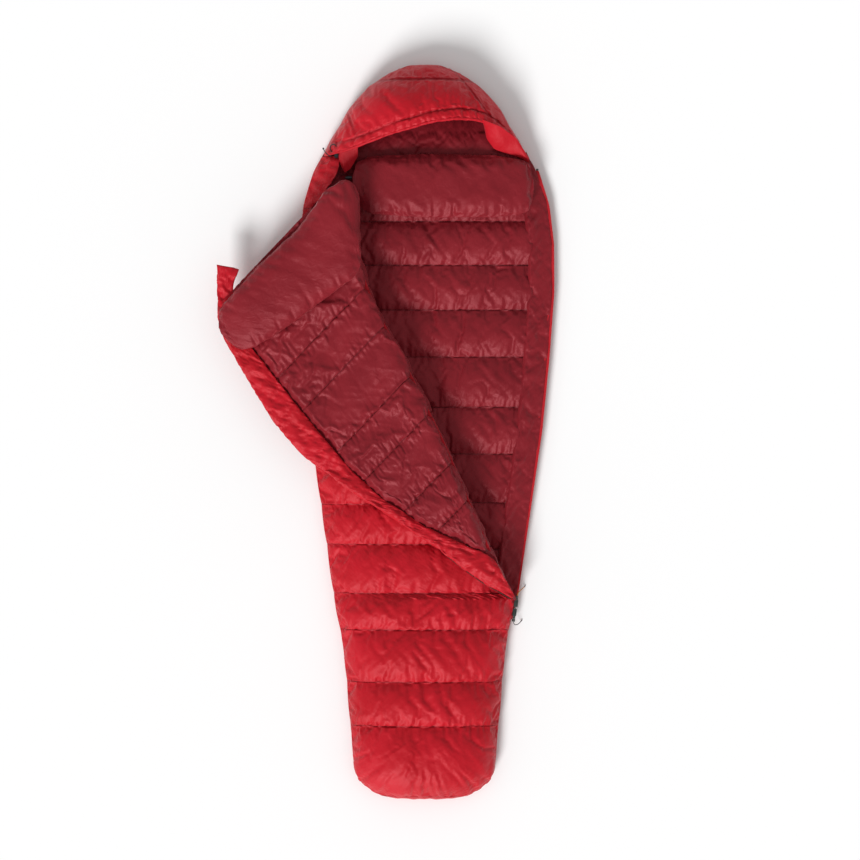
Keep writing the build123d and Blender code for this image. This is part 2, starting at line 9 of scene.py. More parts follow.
import bpy
import numpy as np
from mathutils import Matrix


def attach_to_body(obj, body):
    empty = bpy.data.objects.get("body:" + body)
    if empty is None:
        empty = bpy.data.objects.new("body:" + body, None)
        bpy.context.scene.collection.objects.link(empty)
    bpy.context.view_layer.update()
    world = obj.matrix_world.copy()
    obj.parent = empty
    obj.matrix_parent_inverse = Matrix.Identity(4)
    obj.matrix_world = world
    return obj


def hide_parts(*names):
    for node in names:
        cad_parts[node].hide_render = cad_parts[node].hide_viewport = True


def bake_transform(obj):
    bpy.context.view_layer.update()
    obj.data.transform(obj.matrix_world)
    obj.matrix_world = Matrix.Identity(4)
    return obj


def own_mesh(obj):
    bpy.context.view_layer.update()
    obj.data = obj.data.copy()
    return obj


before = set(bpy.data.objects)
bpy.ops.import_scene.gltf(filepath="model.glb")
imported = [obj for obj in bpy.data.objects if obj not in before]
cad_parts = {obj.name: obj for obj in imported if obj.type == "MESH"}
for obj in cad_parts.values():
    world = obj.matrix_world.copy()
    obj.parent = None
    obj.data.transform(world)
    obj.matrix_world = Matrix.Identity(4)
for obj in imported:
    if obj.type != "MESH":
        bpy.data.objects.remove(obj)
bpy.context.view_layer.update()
scene = bpy.context.scene
MM = 0.001

# ---- camera ----------------------------------------------------------------
CAMERA_ABOVE = 8.0          # metres over the bag
FRAME_WIDE = 2.467          # metres of floor across the picture
LOOK_AT = (15.8, 4.3, 50.0)

camera = bpy.data.objects.new("camera", bpy.data.cameras.new("camera"))
camera.data.sensor_width = 36.0
camera.data.lens = 36.0 * CAMERA_ABOVE / FRAME_WIDE
camera.data.clip_end = 90.0
camera.location = (LOOK_AT[0] * MM, LOOK_AT[1] * MM, LOOK_AT[2] * MM + CAMERA_ABOVE)
scene.collection.objects.link(camera)
scene.camera = camera


# ---- numbers ---------------------------------------------------------------
def xyz(x, y, z):
    """Grid of points from arrays of their coordinates."""
    return np.stack(np.broadcast_arrays(x, y, z), axis=-1)


def smooth(t):
    t = np.clip(t, 0.0, 1.0)
    return t * t * (3 - 2 * t)


def table_curve(table, blur=0.0, step=2.0):
    """A (place, value) table as a function, with its corners rounded by blur."""
    places = np.array([row[0] for row in table], float)
    values = np.array([row[1] for row in table], float)
    if blur <= 0:
        return lambda at: np.interp(at, places, values)
    fine = np.arange(places[0], places[-1] + step, step)
    line = np.interp(fine, places, values)
    reach = min(int(3 * blur / step), len(line) - 2)
    bell = np.exp(-0.5 * (np.arange(-reach, reach + 1) * step / blur) ** 2)
    before = 2 * line[0] - line[reach:0:-1]
    after = 2 * line[-1] - line[-2:-reach - 2:-1]
    line = np.convolve(np.concatenate([before, line, after]), bell / bell.sum(), "valid")
    return lambda at: np.interp(at, fine, line)


def noise(u, v, cell_u, cell_v, seed):
    """Smooth random field from -1 to 1 with cells of the two sizes."""
    size = 251
    lattice = np.random.default_rng(seed).uniform(-1, 1, (size, size))
    a, b = np.broadcast_arrays(np.asarray(u) / cell_u, np.asarray(v) / cell_v)
    i, j = np.floor(a).astype(int), np.floor(b).astype(int)
    fa, fb = smooth(a - i), smooth(b - j)
    low = lattice[i % size, j % size] * (1 - fa) + lattice[(i + 1) % size, j % size] * fa
    high = lattice[i % size, (j + 1) % size] * (1 - fa) + lattice[(i + 1) % size, (j + 1) % size] * fa
    return low * (1 - fb) + high * fb


def crease(u, v, cell_u, cell_v, seed):
    """Thin ridges on a smooth field, 0 to 1."""
    return (1 - np.abs(noise(u, v, cell_u, cell_v, seed))) ** 4


def seam_rows(seams, step, lip=3.0):
    """Rows of a quilted grid: on each seam, just beside it, and between."""
    rows = []
    for low, high in zip(seams, seams[1:]):
        count = max(2, int(round((high - low - 2 * lip) / step)))
        rows.append(low)
        rows += list(np.linspace(low + lip, high - lip, count + 1))
    return np.array(rows + [seams[-1]], float)


def quilt(q, c, seams, seed, gathers=1.0):
    """Shape of a quilted face: (share of full height, wrinkle height in mm, nearness to a seam)."""
    q, c = np.broadcast_arrays(q, c)
    seams = np.array(seams, float)
    k = np.clip(np.searchsorted(seams, q, side="right") - 1, 0, len(seams) - 2)
    low, high = seams[k], seams[k + 1]
    t = np.clip((q - low) / (high - low), 0, 1)
    rise = np.sin(np.pi * t ** 0.84) ** 0.72
    off = np.minimum(q - low, high - q)
    near = np.exp(-np.clip(off, 0, None) / 17.0)
    side = np.where(q - low < high - q, 1, 2)
    pulls = noise(c + 0.15 * off * (side * 2 - 3), q, 7.5, 60, seed) + 0.6 * noise(c, q, 13, 90, seed + 1)
    strength = 0.5 + 0.8 * smooth(0.5 + noise(c, q, 90, 70, seed + 2))
    wrinkles = 3.3 * gathers * near * pulls * strength * np.clip(off / 3.0, 0, 1)
    body = np.sin(np.pi * t)
    waves = 2.6 * noise(c, q, 70, 60, seed + 3) + 1.6 * noise(c + 0.7 * q, q, 22, 55, seed + 4)
    wrinkles = wrinkles + body * waves
    wrinkles = wrinkles - body * 2.2 * crease(c - 0.5 * q, q + 0.4 * c, 48, 80, seed + 5)
    seam = np.exp(-(off / 2.2) ** 2)
    return rise, wrinkles, seam


# ---- meshes ----------------------------------------------------------------
def grid_normals(points, wrap):
    if wrap:
        across = np.roll(points, -1, axis=1) - np.roll(points, 1, axis=1)
    else:
        across = np.gradient(points, axis=1)
    along = np.gradient(points, axis=0)
    normal = np.cross(across, along)
    return normal / np.maximum(np.linalg.norm(normal, axis=2, keepdims=True), 1e-9)


def grid_faces(rows, cols, wrap, flip):
    index = np.arange(rows * cols).reshape(rows, cols)
    right = np.roll(index, -1, axis=1) if wrap else index[:, 1:]
    left = index if wrap else index[:, :-1]
    quads = np.stack([left[:-1], right[:-1], right[1:], left[1:]], axis=-1).reshape(-1, 4)
    return quads[:, ::-1] if flip else quads


def grid_mesh(name, points, wrap=False, flip=False, cap=False):
    """Mesh of a (rows, cols, 3) grid in mm, with real-size UVs in metres."""
    rows, cols = points.shape[:2]
    faces = [tuple(face) for face in grid_faces(rows, cols, wrap, flip).tolist()]
    if cap:
        first = list(range(cols))
        last = list(range((rows - 1) * cols, rows * cols))
        faces.append(tuple(first if flip else first[::-1]))
        faces.append(tuple(last[::-1] if flip else last))
    mesh = bpy.data.meshes.new(name)
    mesh.from_pydata((points * MM).reshape(-1, 3).tolist(), [], faces)
    run_u = np.zeros((rows, cols))
    run_u[:, 1:] = np.cumsum(np.linalg.norm(np.diff(points, axis=1), axis=2), axis=1)
    run_v = np.zeros((rows, cols))
    run_v[1:] = np.cumsum(np.linalg.norm(np.diff(points, axis=0), axis=2), axis=0)
    spots = np.stack([run_u - run_u[:, cols // 2:cols // 2 + 1], run_v], axis=-1).reshape(-1, 2) * MM
    corner = np.zeros(len(mesh.loops), np.int32)
    mesh.loops.foreach_get("vertex_index", corner)
    mesh.uv_layers.new(name="cloth").data.foreach_set("uv", spots[corner].astype(np.float32).ravel())
    mesh.polygons.foreach_set("use_smooth", np.ones(len(mesh.polygons), bool))
    mesh.update()
    return mesh


def grid_object(name, points, material, wrap=False, flip=False, cap=False, seam=None, smoother=False):
    mesh = grid_mesh(name, points, wrap, flip, cap)
    if seam is not None:
        mark = mesh.attributes.new("seam", "FLOAT", "POINT")
        mark.data.foreach_set("value", np.asarray(seam, np.float32).ravel())
    mesh.materials.append(material)
    item = bpy.data.objects.new(name, mesh)
    scene.collection.objects.link(item)
    if smoother:
        item.modifiers.new("round", "SUBSURF").levels = 1
        item.modifiers["round"].render_levels = 1
        baked = bpy.data.meshes.new_from_object(item.evaluated_get(bpy.context.evaluated_depsgraph_get()))
        item.modifiers.clear()
        item.data = baked
    return item


# ---- cloth -----------------------------------------------------------------
CLOTH_FRAMES = 16
waiting = []


class Cloth:
    """A grid of fabric that is blown up from its starting shape while its seams hold it.

    spare is the share of extra cloth, and cap the farthest that a point may move, in mm.
    """

    def __init__(self, points, held, wrap=False, flip=False, pressure=4.0, spare=0.045, cap=9.0):
        self.points = points
        self.wrap = wrap
        self.flip = flip
        self.cap = cap
        mesh = grid_mesh("cloth", points, wrap, flip)
        self.item = bpy.data.objects.new("cloth", mesh)
        scene.collection.objects.link(self.item)
        group = self.item.vertex_groups.new(name="held")
        group.add(np.flatnonzero(np.asarray(held).ravel()).tolist(), 1.0, "REPLACE")
        modifier = self.item.modifiers.new("Cloth", "CLOTH")
        settings = {"quality": 5, "mass": 0.1, "tension_stiffness": 30, "compression_stiffness": 30,
                    "shear_stiffness": 10, "bending_stiffness": 0.08, "vertex_group_mass": "held",
                    "use_pressure": True, "uniform_pressure_force": pressure, "shrink_min": -spare}
        for key, value in settings.items():
            setattr(modifier.settings, key, value)
        modifier.settings.effector_weights.gravity = 0
        modifier.collision_settings.use_collision = False
        modifier.collision_settings.use_self_collision = False
        modifier.point_cache.frame_start = 1
        modifier.point_cache.frame_end = CLOTH_FRAMES
        waiting.append(self)

    def take(self):
        graph = bpy.context.evaluated_depsgraph_get()
        mesh = self.item.evaluated_get(graph).to_mesh()
        spots = np.zeros(len(mesh.vertices) * 3)
        mesh.vertices.foreach_get("co", spots)
        move = spots.reshape(self.points.shape) / MM - self.points
        length = np.linalg.norm(move, axis=2, keepdims=True)
        limit = self.cap * np.tanh(length / self.cap)
        self.points = self.points + move * limit / np.maximum(length, 1e-9)


def blow_up():
    """Runs every waiting cloth together, then takes the result."""
    if not waiting:
        return
    scene.frame_start = 1
    scene.frame_end = CLOTH_FRAMES
    for number in range(1, CLOTH_FRAMES + 1):
        scene.frame_set(number)
    for cloth in waiting:
        cloth.take()
    for cloth in waiting:
        bpy.data.objects.remove(cloth.item)
    waiting.clear()
    scene.frame_set(1)


def twice(grid, wrap=False):
    """Halves the spacing of a grid both ways, on smooth curves through its points."""
    def along_rows(values, closed):
        if closed:
            ends = values[-1:], values[:2]
        else:
            ends = 2 * values[:1] - values[1:2], 2 * values[-1:] - values[-2:-1]
        long = np.concatenate([ends[0], values, ends[1]])
        middle = (9 * (long[1:-2] + long[2:-1]) - long[:-3] - long[3:]) / 16
        count = len(values) * 2 if closed else len(values) * 2 - 1
        out = np.zeros((count,) + values.shape[1:])
        out[0::2] = values
        out[1::2] = middle[:len(out[1::2])]
        return out
    grid = along_rows(np.asarray(grid, float), False)
    return np.swapaxes(along_rows(np.swapaxes(grid, 0, 1), wrap), 0, 1)


def wrinkled(points, q, c, seams, seed, gathers=1.0, body=1.0, wrap=False, flip=False, where=1.0):
    """Finer grid with the gathers of the stitching and the crumple of the cloth: (points, seam mark)."""
    shape = points.shape[:2]
    points = twice(points, wrap)
    q = twice(np.broadcast_to(q, shape))
    c = twice(np.broadcast_to(c, shape))
    if wrap:
        q = np.concatenate([q, q[:, -1:]], axis=1)
        c = np.concatenate([c, c[:, -1:]], axis=1)
        q[:, -1] = (q[:, -2] + q[:, 0]) / 2
        c[:, -1] = (c[:, -2] + c[:, 0]) / 2
    if np.ndim(where):
        where = twice(np.broadcast_to(where, shape))
        where = np.concatenate([where, where[:, -1:]], axis=1) if wrap else where
    seams = np.array(seams, float)
    k = np.clip(np.searchsorted(seams, q, side="right") - 1, 0, len(seams) - 2)
    off = np.clip(np.minimum(q - seams[k], seams[k + 1] - q), 0, None)
    side = np.where(q - seams[k] < seams[k + 1] - q, 1, -1)
    slant = 0.35 * noise(c, q, 120, 80, seed + 9) * off * side
    reach = 12 + 16 * (0.5 + 0.5 * noise(c, q, 34, 200, seed + 8))
    streak = np.abs(noise(c + slant, q, 9.5, 90, seed)) ** 0.7 + 0.45 * noise(c + slant, q, 17, 70, seed + 1)
    bunch = 0.35 + 0.9 * smooth(0.5 + 0.9 * noise(c, q, 70, 50, seed + 2))
    height = -3.0 * gathers * streak * bunch * np.exp(-off / reach) * np.clip(off / 4.0, 0.25, 1)
    inner = np.clip(off / 25.0, 0, 1)
    long_fold = crease(c + 0.8 * q, q - 0.5 * c, 26, 95, seed + 4)
    cross_fold = crease(c - 1.1 * q, q + 0.2 * c, 22, 80, seed + 5)
    patch = smooth(0.2 + 0.9 * noise(c, q, 110, 90, seed + 6))
    height = height - body * inner * (1.3 * long_fold * patch + 1.1 * cross_fold * (1 - patch))
    height = height + body * 0.7 * noise(c, q, 13, 20, seed + 7) * inner
    normal = grid_normals(points, wrap) * (-1 if flip else 1)
    points = points + normal * (height * where)[..., None]
    return points, np.exp(-(off / 1.8) ** 2)


# ---- materials -------------------------------------------------------------
MIX_FACTOR, MIX_A, MIX_B, MIX_RESULT = 0, 6, 7, 2     # sockets of a colour Mix node
# colour factor at the seams: darker stitch thread plus painted shade in the seam grooves
SEAM_THREAD_AND_SHADE = 0.55


def set_inputs(made, inputs):
    for key, value in inputs.items():
        made.inputs[key].default_value = value
    return made


def node(tree, kind, inputs, **settings):
    """New shader node with the given inputs and settings."""
    made = tree.nodes.new(kind)
    for key, value in settings.items():
        setattr(made, key, value)
    return set_inputs(made, inputs)


def shaded(name, inputs):
    """New material: (material, its node tree, its shader)."""
    material = bpy.data.materials.new(name)
    material.use_nodes = True
    shader = set_inputs(material.node_tree.nodes["Principled BSDF"], inputs)
    return material, material.node_tree, shader


def fabric(name, color, deep, rough=0.5, sheen=0.35, weave=0.00032, crinkle=0.0016):
    """Thin woven nylon: ripstop weave, fine crinkles, slight colour change, seams darkened for the stitch
    thread and for painted shade in their grooves.
    """
    material, tree, shader = shaded(name, {
        "Roughness": rough, "Sheen Weight": sheen, "Sheen Roughness": 0.45, "Sheen Tint": (1.0, 0.3, 0.32, 1),
        "Specular IOR Level": 0.42, "Specular Tint": (1.0, 0.42, 0.45, 1)})
    link = tree.links.new
    place = node(tree, "ShaderNodeTexCoord", {})
    patches = node(tree, "ShaderNodeTexNoise", {"Scale": 5.0, "Detail": 5.0})
    link(place.outputs["UV"], patches.inputs["Vector"])
    tint = node(tree, "ShaderNodeMix", {MIX_A: (*deep, 1), MIX_B: (*color, 1)}, data_type="RGBA")
    spread = node(tree, "ShaderNodeMapRange", {"From Min": 0.34, "From Max": 0.6})
    link(patches.outputs["Fac"], spread.inputs["Value"])
    link(spread.outputs["Result"], tint.inputs[MIX_FACTOR])
    # the seam mark darkens the base colour: stitch thread plus painted shade in the seam grooves
    seam = node(tree, "ShaderNodeAttribute", {}, attribute_name="seam")
    darker = node(tree, "ShaderNodeMix", {MIX_B: (SEAM_THREAD_AND_SHADE, SEAM_THREAD_AND_SHADE, SEAM_THREAD_AND_SHADE, 1)}, data_type="RGBA",
                  blend_type="MULTIPLY")
    link(seam.outputs["Fac"], darker.inputs[MIX_FACTOR])
    link(tint.outputs[MIX_RESULT], darker.inputs[MIX_A])
    link(darker.outputs[MIX_RESULT], shader.inputs["Base Color"])
    small = node(tree, "ShaderNodeTexNoise", {"Scale": 55.0, "Detail": 4.0, "Distortion": 0.8})
    link(place.outputs["UV"], small.inputs["Vector"])
    folds = node(tree, "ShaderNodeBump", {"Distance": crinkle, "Strength": 0.9})
    link(small.outputs["Fac"], folds.inputs["Height"])
    weft = node(tree, "ShaderNodeMath", {}, operation="MULTIPLY")
    for number, direction in enumerate(("X", "Y")):
        threads = node(tree, "ShaderNodeTexWave", {"Scale": 320.0}, wave_type="BANDS",
                       bands_direction=direction)
        link(place.outputs["UV"], threads.inputs["Vector"])
        link(threads.outputs["Fac"], weft.inputs[number])
    cloth = node(tree, "ShaderNodeBump", {"Distance": weave, "Strength": 0.35})
    link(weft.outputs["Value"], cloth.inputs["Height"])
    link(folds.outputs["Normal"], cloth.inputs["Normal"])
    link(cloth.outputs["Normal"], shader.inputs["Normal"])
    return material


def hard(name, color, rough, metal=0.0, grain=900.0, depth=0.00015):
    """Moulded plastic, painted metal or cord fibre with a fine grain."""
    material, tree, shader = shaded(name, {"Metallic": metal, "Roughness": rough})
    link = tree.links.new
    place = node(tree, "ShaderNodeTexCoord", {})
    speckle = node(tree, "ShaderNodeTexNoise", {"Scale": grain, "Detail": 3.0})
    link(place.outputs["Object"], speckle.inputs["Vector"])
    darker = tuple(0.7 * part for part in color)
    ramp = node(tree, "ShaderNodeMix", {MIX_A: (*darker, 1), MIX_B: (*color, 1)}, data_type="RGBA")
    link(speckle.outputs["Fac"], ramp.inputs[MIX_FACTOR])
    link(ramp.outputs[MIX_RESULT], shader.inputs["Base Color"])
    bump = node(tree, "ShaderNodeBump", {"Distance": depth, "Strength": 0.52})
    link(speckle.outputs["Fac"], bump.inputs["Height"])
    link(bump.outputs["Normal"], shader.inputs["Normal"])
    return material


SHELL = fabric("shell_fabric", (0.5, 0.006, 0.016), (0.43, 0.004, 0.011), rough=0.42, sheen=0.25)
LINING = fabric("lining_fabric", (0.225, 0.011, 0.018), (0.185, 0.008, 0.014), rough=0.4, sheen=0.25)
TAPE = fabric("zip_tape", (0.5, 0.012, 0.02), (0.44, 0.008, 0.015), rough=0.6, crinkle=0.0002, weave=0.0005)
COIL = hard("zip_coil", (0.055, 0.035, 0.03), 0.45)
METAL = hard("zip_metal", (0.07, 0.085, 0.075), 0.35, metal=0.6)
ORANGE = hard("pull_cord_orange", (0.75, 0.27, 0.05), 0.7, grain=1600.0, depth=0.0004)
GREY = hard("pull_cord_grey", (0.13, 0.12, 0.125), 0.65, grain=1600.0, depth=0.0004)
BLACK_CORD = hard("drawcord", (0.012, 0.012, 0.014), 0.7, grain=1600.0, depth=0.0004)
PLASTIC = hard("lock_plastic", (0.012, 0.014, 0.018), 0.32)
STEEL = hard("spring_steel", (0.5, 0.5, 0.5), 0.25, metal=1.0)


# ---- what a piece stands for -------------------------------------------------
def attach(item, body, slot, *nodes):
    """Puts a piece on a body and hides the CAD nodes that it stands for; slot is not used."""
    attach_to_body(item, body)
    if nodes:
        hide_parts(*nodes)


def padded(item, body, fill, slot, *nodes):
    """A padded piece on one body."""
    attach(item, body, slot, *nodes)


def padded_over(item, bodies, window, fill, slot, *nodes):
    """A padded piece with its transform baked in and the CAD nodes that it stands for hidden; bodies and
    window are not used.
    """
    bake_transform(item)
    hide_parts(*nodes)


def numbered(stem, count):
    return [f"{stem}_{k:02d}" for k in range(1, count + 1)]


# ---- cords (routes repeated from the part) ---------------------------------
DRAWCORD_TAIL = ((-267, 788, 80), (-273, 788.6, 79.4), (-279, 792.5, 75.5), (-284, 799.5, 69.5),
                 (-288, 806, 62.5), (-290.5, 812, 55))
DRAWCORD_LOOP = ((-252, 794.2, 81), (-250.5, 802, 84), (-250, 811, 86), (-254.5, 819, 84),
                 (-262.5, 821.5, 80), (-269.5, 816.5, 76), (-270.5, 808, 74), (-266.5, 800.5, 74.5),
                 (-260.5, 795.2, 76))
UPPER_PULL = ((266.5, -471.8, 33.5), (268.8, -465.5, 32), (272.5, -460, 27), (277.5, -456.5, 19.5),
              (282, -453.5, 11.5), (286, -450, 4.5), (290.5, -445.5, 1.6))
LOWER_PULL = ((255.9, -542.2, 33.5), (255.6, -549, 32), (258.6, -555, 26.5), (264.5, -557, 19),
              (271, -554.5, 11), (276, -550, 4.6), (281, -544.5, 1.6))
DRAWCORD_RADIUS = 1.3
PULL_RADIUS = 1.2


def cord_curve(name, route, radius, material):
    curve = bpy.data.curves.new(name, "CURVE")
    curve.dimensions = "3D"
    line = curve.splines.new("NURBS")
    line.points.add(len(route) - 1)
    for point, spot in zip(line.points, route):
        point.co = (spot[0] * MM, spot[1] * MM, spot[2] * MM, 1)
    line.order_u = 3
    line.use_endpoint_u = True
    line.resolution_u = 10
    curve.bevel_depth = radius * MM
    curve.bevel_resolution = 4
    curve.use_fill_caps = True
    curve.materials.append(material)
    item = bpy.data.objects.new(name, curve)
    scene.collection.objects.link(item)
    return item


def end_piece(name, route, radius, long, material):
    """Rounded sleeve or knot over a cord's far end."""
    last = np.array(route[-1], float)
    heading = last - np.array(route[-2], float)
    heading /= np.linalg.norm(heading)
    side = np.cross(heading, (0, 0, 1))
    side /= np.linalg.norm(side)
    up = np.cross(side, heading)
    rows = []
    for share in np.linspace(0, 1, 9):
        swell = radius * (0.25 + 0.75 * math.sin(math.pi * min(max(share, 0.04), 0.96)) ** 0.4)
        middle = last + heading * (share - 0.8) * long
        turn = np.linspace(0, 2 * math.pi, 13)[:-1]
        rows.append([middle + swell * (math.cos(a) * side + math.sin(a) * up) for a in turn])
    points = np.array(rows)
    points[:, :, 2] = np.maximum(points[:, :, 2], 0.2)
    return grid_object(name, points, material, wrap=True, cap=True)


def make_cords():
    tail = cord_curve("hood_cord_tail_look", DRAWCORD_TAIL, DRAWCORD_RADIUS, BLACK_CORD)
    knot = end_piece("hood_cord_knot", DRAWCORD_TAIL, 2.6, 6.5, BLACK_CORD)
    loop = cord_curve("hood_cord_loop_look", DRAWCORD_LOOP, DRAWCORD_RADIUS, BLACK_CORD)
    upper = cord_curve("pull_cord_upper_look", UPPER_PULL, PULL_RADIUS, ORANGE)
    upper_end = end_piece("pull_cord_upper_end", UPPER_PULL, 1.5, 8.0, GREY)
    lower = cord_curve("pull_cord_lower_look", LOWER_PULL, PULL_RADIUS, GREY)
    lower_end = end_piece("pull_cord_lower_end", LOWER_PULL, 1.5, 8.0, GREY)
    attach(tail, "hood_canopy", "drawcord", "hood_cord_tail")
    attach(knot, "hood_canopy", "drawcord")
    attach(loop, "cord_lock", "drawcord", "hood_cord_loop")
    attach(upper, "tab_upper", "pull_cord_orange", "pull_cord_upper")
    attach(upper_end, "tab_upper", "pull_cord_grey")
    attach(lower, "tab_lower", "pull_cord_grey", "pull_cord_lower")
    attach(lower_end, "tab_lower", "pull_cord_grey")


make_cords()

# ---- shape of the bag -------------------------------------------------------
FOOT_Y, CROWN_Y = -1048, 1052       # ends of the bag
ZIP_END_Y = -483                     # lower end of the opening
OUTLINE = (
    (FOOT_Y, 118), (-1038, 142), (-1006, 184), (-971, 198), (-902, 205),
    (-765, 217), (-627, 229), (-480, 257), (-250, 289), (0, 325),
    (200, 345), (400, 360), (540, 359), (650, 346), (750, 315),
    (850, 262), (925, 212), (990, 152), (1030, 98), (CROWN_Y, 46),
)
half = table_curve(OUTLINE, blur=9)
BACK_SEAMS = (FOOT_Y, -900, -762, -620, -476, -340, -205, -65, 70, 214, 349, 478, 604, 739, 900, CROWN_Y)
COVER_SEAMS = (FOOT_Y, -842, -716, -567, -463, -323, -208, -71, 66, 199, 334, 470, 640, 790)
COVER_RISE = ((FOOT_Y, 72), (-1030, 90), (-1000, 104), (-902, 116), (-560, 116), (-400, 101), (790, 100))
COVER_RIGHT = ((ZIP_END_Y, 262), (625, -304), (680, -292), (735, -250), (790, -240))
cover_rise = table_curve(COVER_RISE, 20)
cover_right = table_curve(COVER_RIGHT, 12)
SIDE_SEAM_Z = 28.0
CLOTH_STEP = 7.0


def back_top(x, y):
    """Upper face of the back: (z, seam mark)."""
    w = half(y)
    side = smooth((w - np.abs(x)) / 60.0)
    rise, wrinkles, seam = quilt(y, x, BACK_SEAMS, 20, gathers=0.8)
    return 28.5 + side * (2.0 + 14.0 * rise) + side * wrinkles, seam * side


def make_back_lining():
    y = seam_rows(BACK_SEAMS, CLOTH_STEP)[:, None]
    c = np.linspace(-1, 1, 97)[None, :]
    x = c * (half(y) - 1.5)
    z, seam = back_top(x, y)
    points = xyz(x, y, z)
    seen = (y > -500) & (y < 860) & (x > cover_right(y) - 60)
    held = (seam > 0.5) | (np.abs(x) > half(y) - 52) | ~seen
    held[0] = held[-1] = True
    return Cloth(points, held, cap=8.0), (y, x), smooth((half(y) - np.abs(x)) / 60)


# Section of the side wall: distance past the outline, and height.
SIDE_WALL = ((-3.5, 29.5), (-0.5, 28.5), (1.2, 26), (3.0, 20), (3.4, 14), (2.4, 8), (-1.0, 3), (-7, 0.8),
             (-16, 0.3), (-34, 0.2))


def make_back_shell():
    """Outer fabric of the back: side wall and underside."""
    y = seam_rows(BACK_SEAMS, 14.0)[:, None]
    rise, _, seam = quilt(y, 0 * y, BACK_SEAMS, 31)
    turn = np.linspace(0, 1, 15)[None, :]
    side_wall = np.array(SIDE_WALL)
    share = np.linspace(0, 1, len(side_wall))
    out = np.interp(turn, share, side_wall[:, 0])
    high = np.interp(turn, share, side_wall[:, 1])
    w = half(y)
    bulge = np.where(out > 0, out * (0.25 + 0.75 * rise), out)
    bulge = bulge + 1.2 * noise(turn * 40, y, 12, 14, 33) * (out > 0)
    right = xyz(w + bulge, y, high)
    left = xyz(-(w + bulge), y, high)[:, ::-1]
    underside = np.linspace(0, 1, 32)[1:-1][None, :]
    middle = xyz((w - 34) * (1 - 2 * underside), y, 0.2 + 2.2 * (1 - rise))
    points = np.concatenate([right, middle, left], axis=1)
    return grid_object("back_shell_look", points, SHELL, seam=np.broadcast_to(seam, points.shape[:2]))


PANEL_FOOT_Y, PANEL_HEAD_Y = -478, 806
PANEL_WIDE, PANEL_OVER = 69.0, 6.0       # its width, and how far it passes the outline


def make_side_panel():
    """Plain facing along the open side."""
    y = np.arange(PANEL_FOOT_Y, PANEL_HEAD_Y, CLOTH_STEP)[:, None]
    c = np.linspace(0, 1, 13)[None, :]
    w = half(y)
    x = w + PANEL_OVER - PANEL_WIDE + c * PANEL_WIDE
    z = 32.0 + 17.0 * smooth((w - x) / 60.0) - 9.0 * np.clip(1 - c / 0.1, 0, 1)
    taper = smooth((y - PANEL_FOOT_Y) / 60) * smooth((PANEL_HEAD_Y - y) / 40)
    waves = 1.4 * noise(x - 0.5 * y, y, 14, 60, 42) * np.sin(np.pi * c)
    z = z + taper * (1.5 * noise(x, y, 22, 40, 41) + waves)
    points = xyz(x, y, z)
    held = (c < 0.1) | (c > 0.93) | (y < -465) | (y > 795)
    return Cloth(points, held, cap=4.0, spare=0.03, pressure=1.5), (y, x)


UNDER_SIDE = -0.2           # a roll is sewn down below this height of its section


def ring_section(count, power):
    """Section of a padded roll, from -1 to 1 both ways; a power of 2 makes it round."""
    turn = np.linspace(0, 2 * math.pi, count + 1)[:-1]
    across, upward = np.cos(turn), np.sin(turn)
    return [(np.sign(part) * np.abs(part) ** (2 / power))[None, :] for part in (across, upward)]


# The neck roll's edges in Y and half height, each by the place in X.
BACK_COLLAR_START = ((-206, 690), (-196, 648), (-150, 622), (0, 612), (200, 613), (285, 622), (304, 640),
                     (314, 690))
BACK_COLLAR_END = ((-206, 730), (-196, 768), (-150, 790), (0, 796), (200, 792), (285, 776), (304, 756),
                   (314, 712))
BACK_COLLAR_HIGH = ((-206, 2), (-196, 14), (-170, 20), (0, 21), (200, 21), (285, 17), (304, 9), (314, 2))
BACK_COLLAR_Z = 66.5


def make_back_collar():
    """Padded roll across the neck: rings across it, along X."""
    stations = [np.linspace(-206, -190, 4), np.linspace(-182, 296, 68), np.linspace(301, 314, 5)]
    x = np.concatenate(stations)[:, None]
    start = table_curve(BACK_COLLAR_START, 5)(x)
    end = table_curve(BACK_COLLAR_END, 5)(x)
    height = table_curve(BACK_COLLAR_HIGH, 5)(x)
    across, upward = ring_section(46, 2.5)
    middle, reach = (start + end) / 2, (end - start) / 2
    y = middle + reach * across
    z = BACK_COLLAR_Z + height * upward
    foot = np.exp(-((y - start) / 26.0) ** 2)
    head = np.exp(-((end - y) / 22.0) ** 2)
    pull = noise(x, y, 9, 70, 51) + 0.7 * noise(x + 0.3 * y, y, 17, 90, 52)
    top = np.clip(upward, 0, 1)
    z = z + top * (4.2 * foot * pull + 2.4 * head * pull + 2.2 * noise(x, y, 70, 60, 53)
                   + 1.6 * noise(x + y, y, 26, 50, 54))
    points = xyz(x, y, z)
    held = np.broadcast_to(upward < UNDER_SIDE, points.shape[:2]).copy()
    held[0] = held[-1] = True
    held[:, [0, 23]] = True
    return Cloth(points, held, wrap=True, cap=6.0, pressure=3.0), (y + 0 * x, x + 0 * y)


def cover_height(x, y):
    """Outer face of the part of the cover that stays down: (z, seam mark)."""
    w = half(y) + 2.0
    rise, wrinkles, seam = quilt(y, x, COVER_SEAMS, 60, gathers=1.15)
    crown = cover_rise(y) - 15.0 * (1 - rise)
    share = np.clip(1 - np.abs(np.clip(x / w, -1, 1)) ** 2.4, 0, 1) ** 0.6
    fade = smooth(share / 0.5)
    return SIDE_SEAM_Z + (crown - SIDE_SEAM_Z) * share + fade * wrinkles, seam * fade


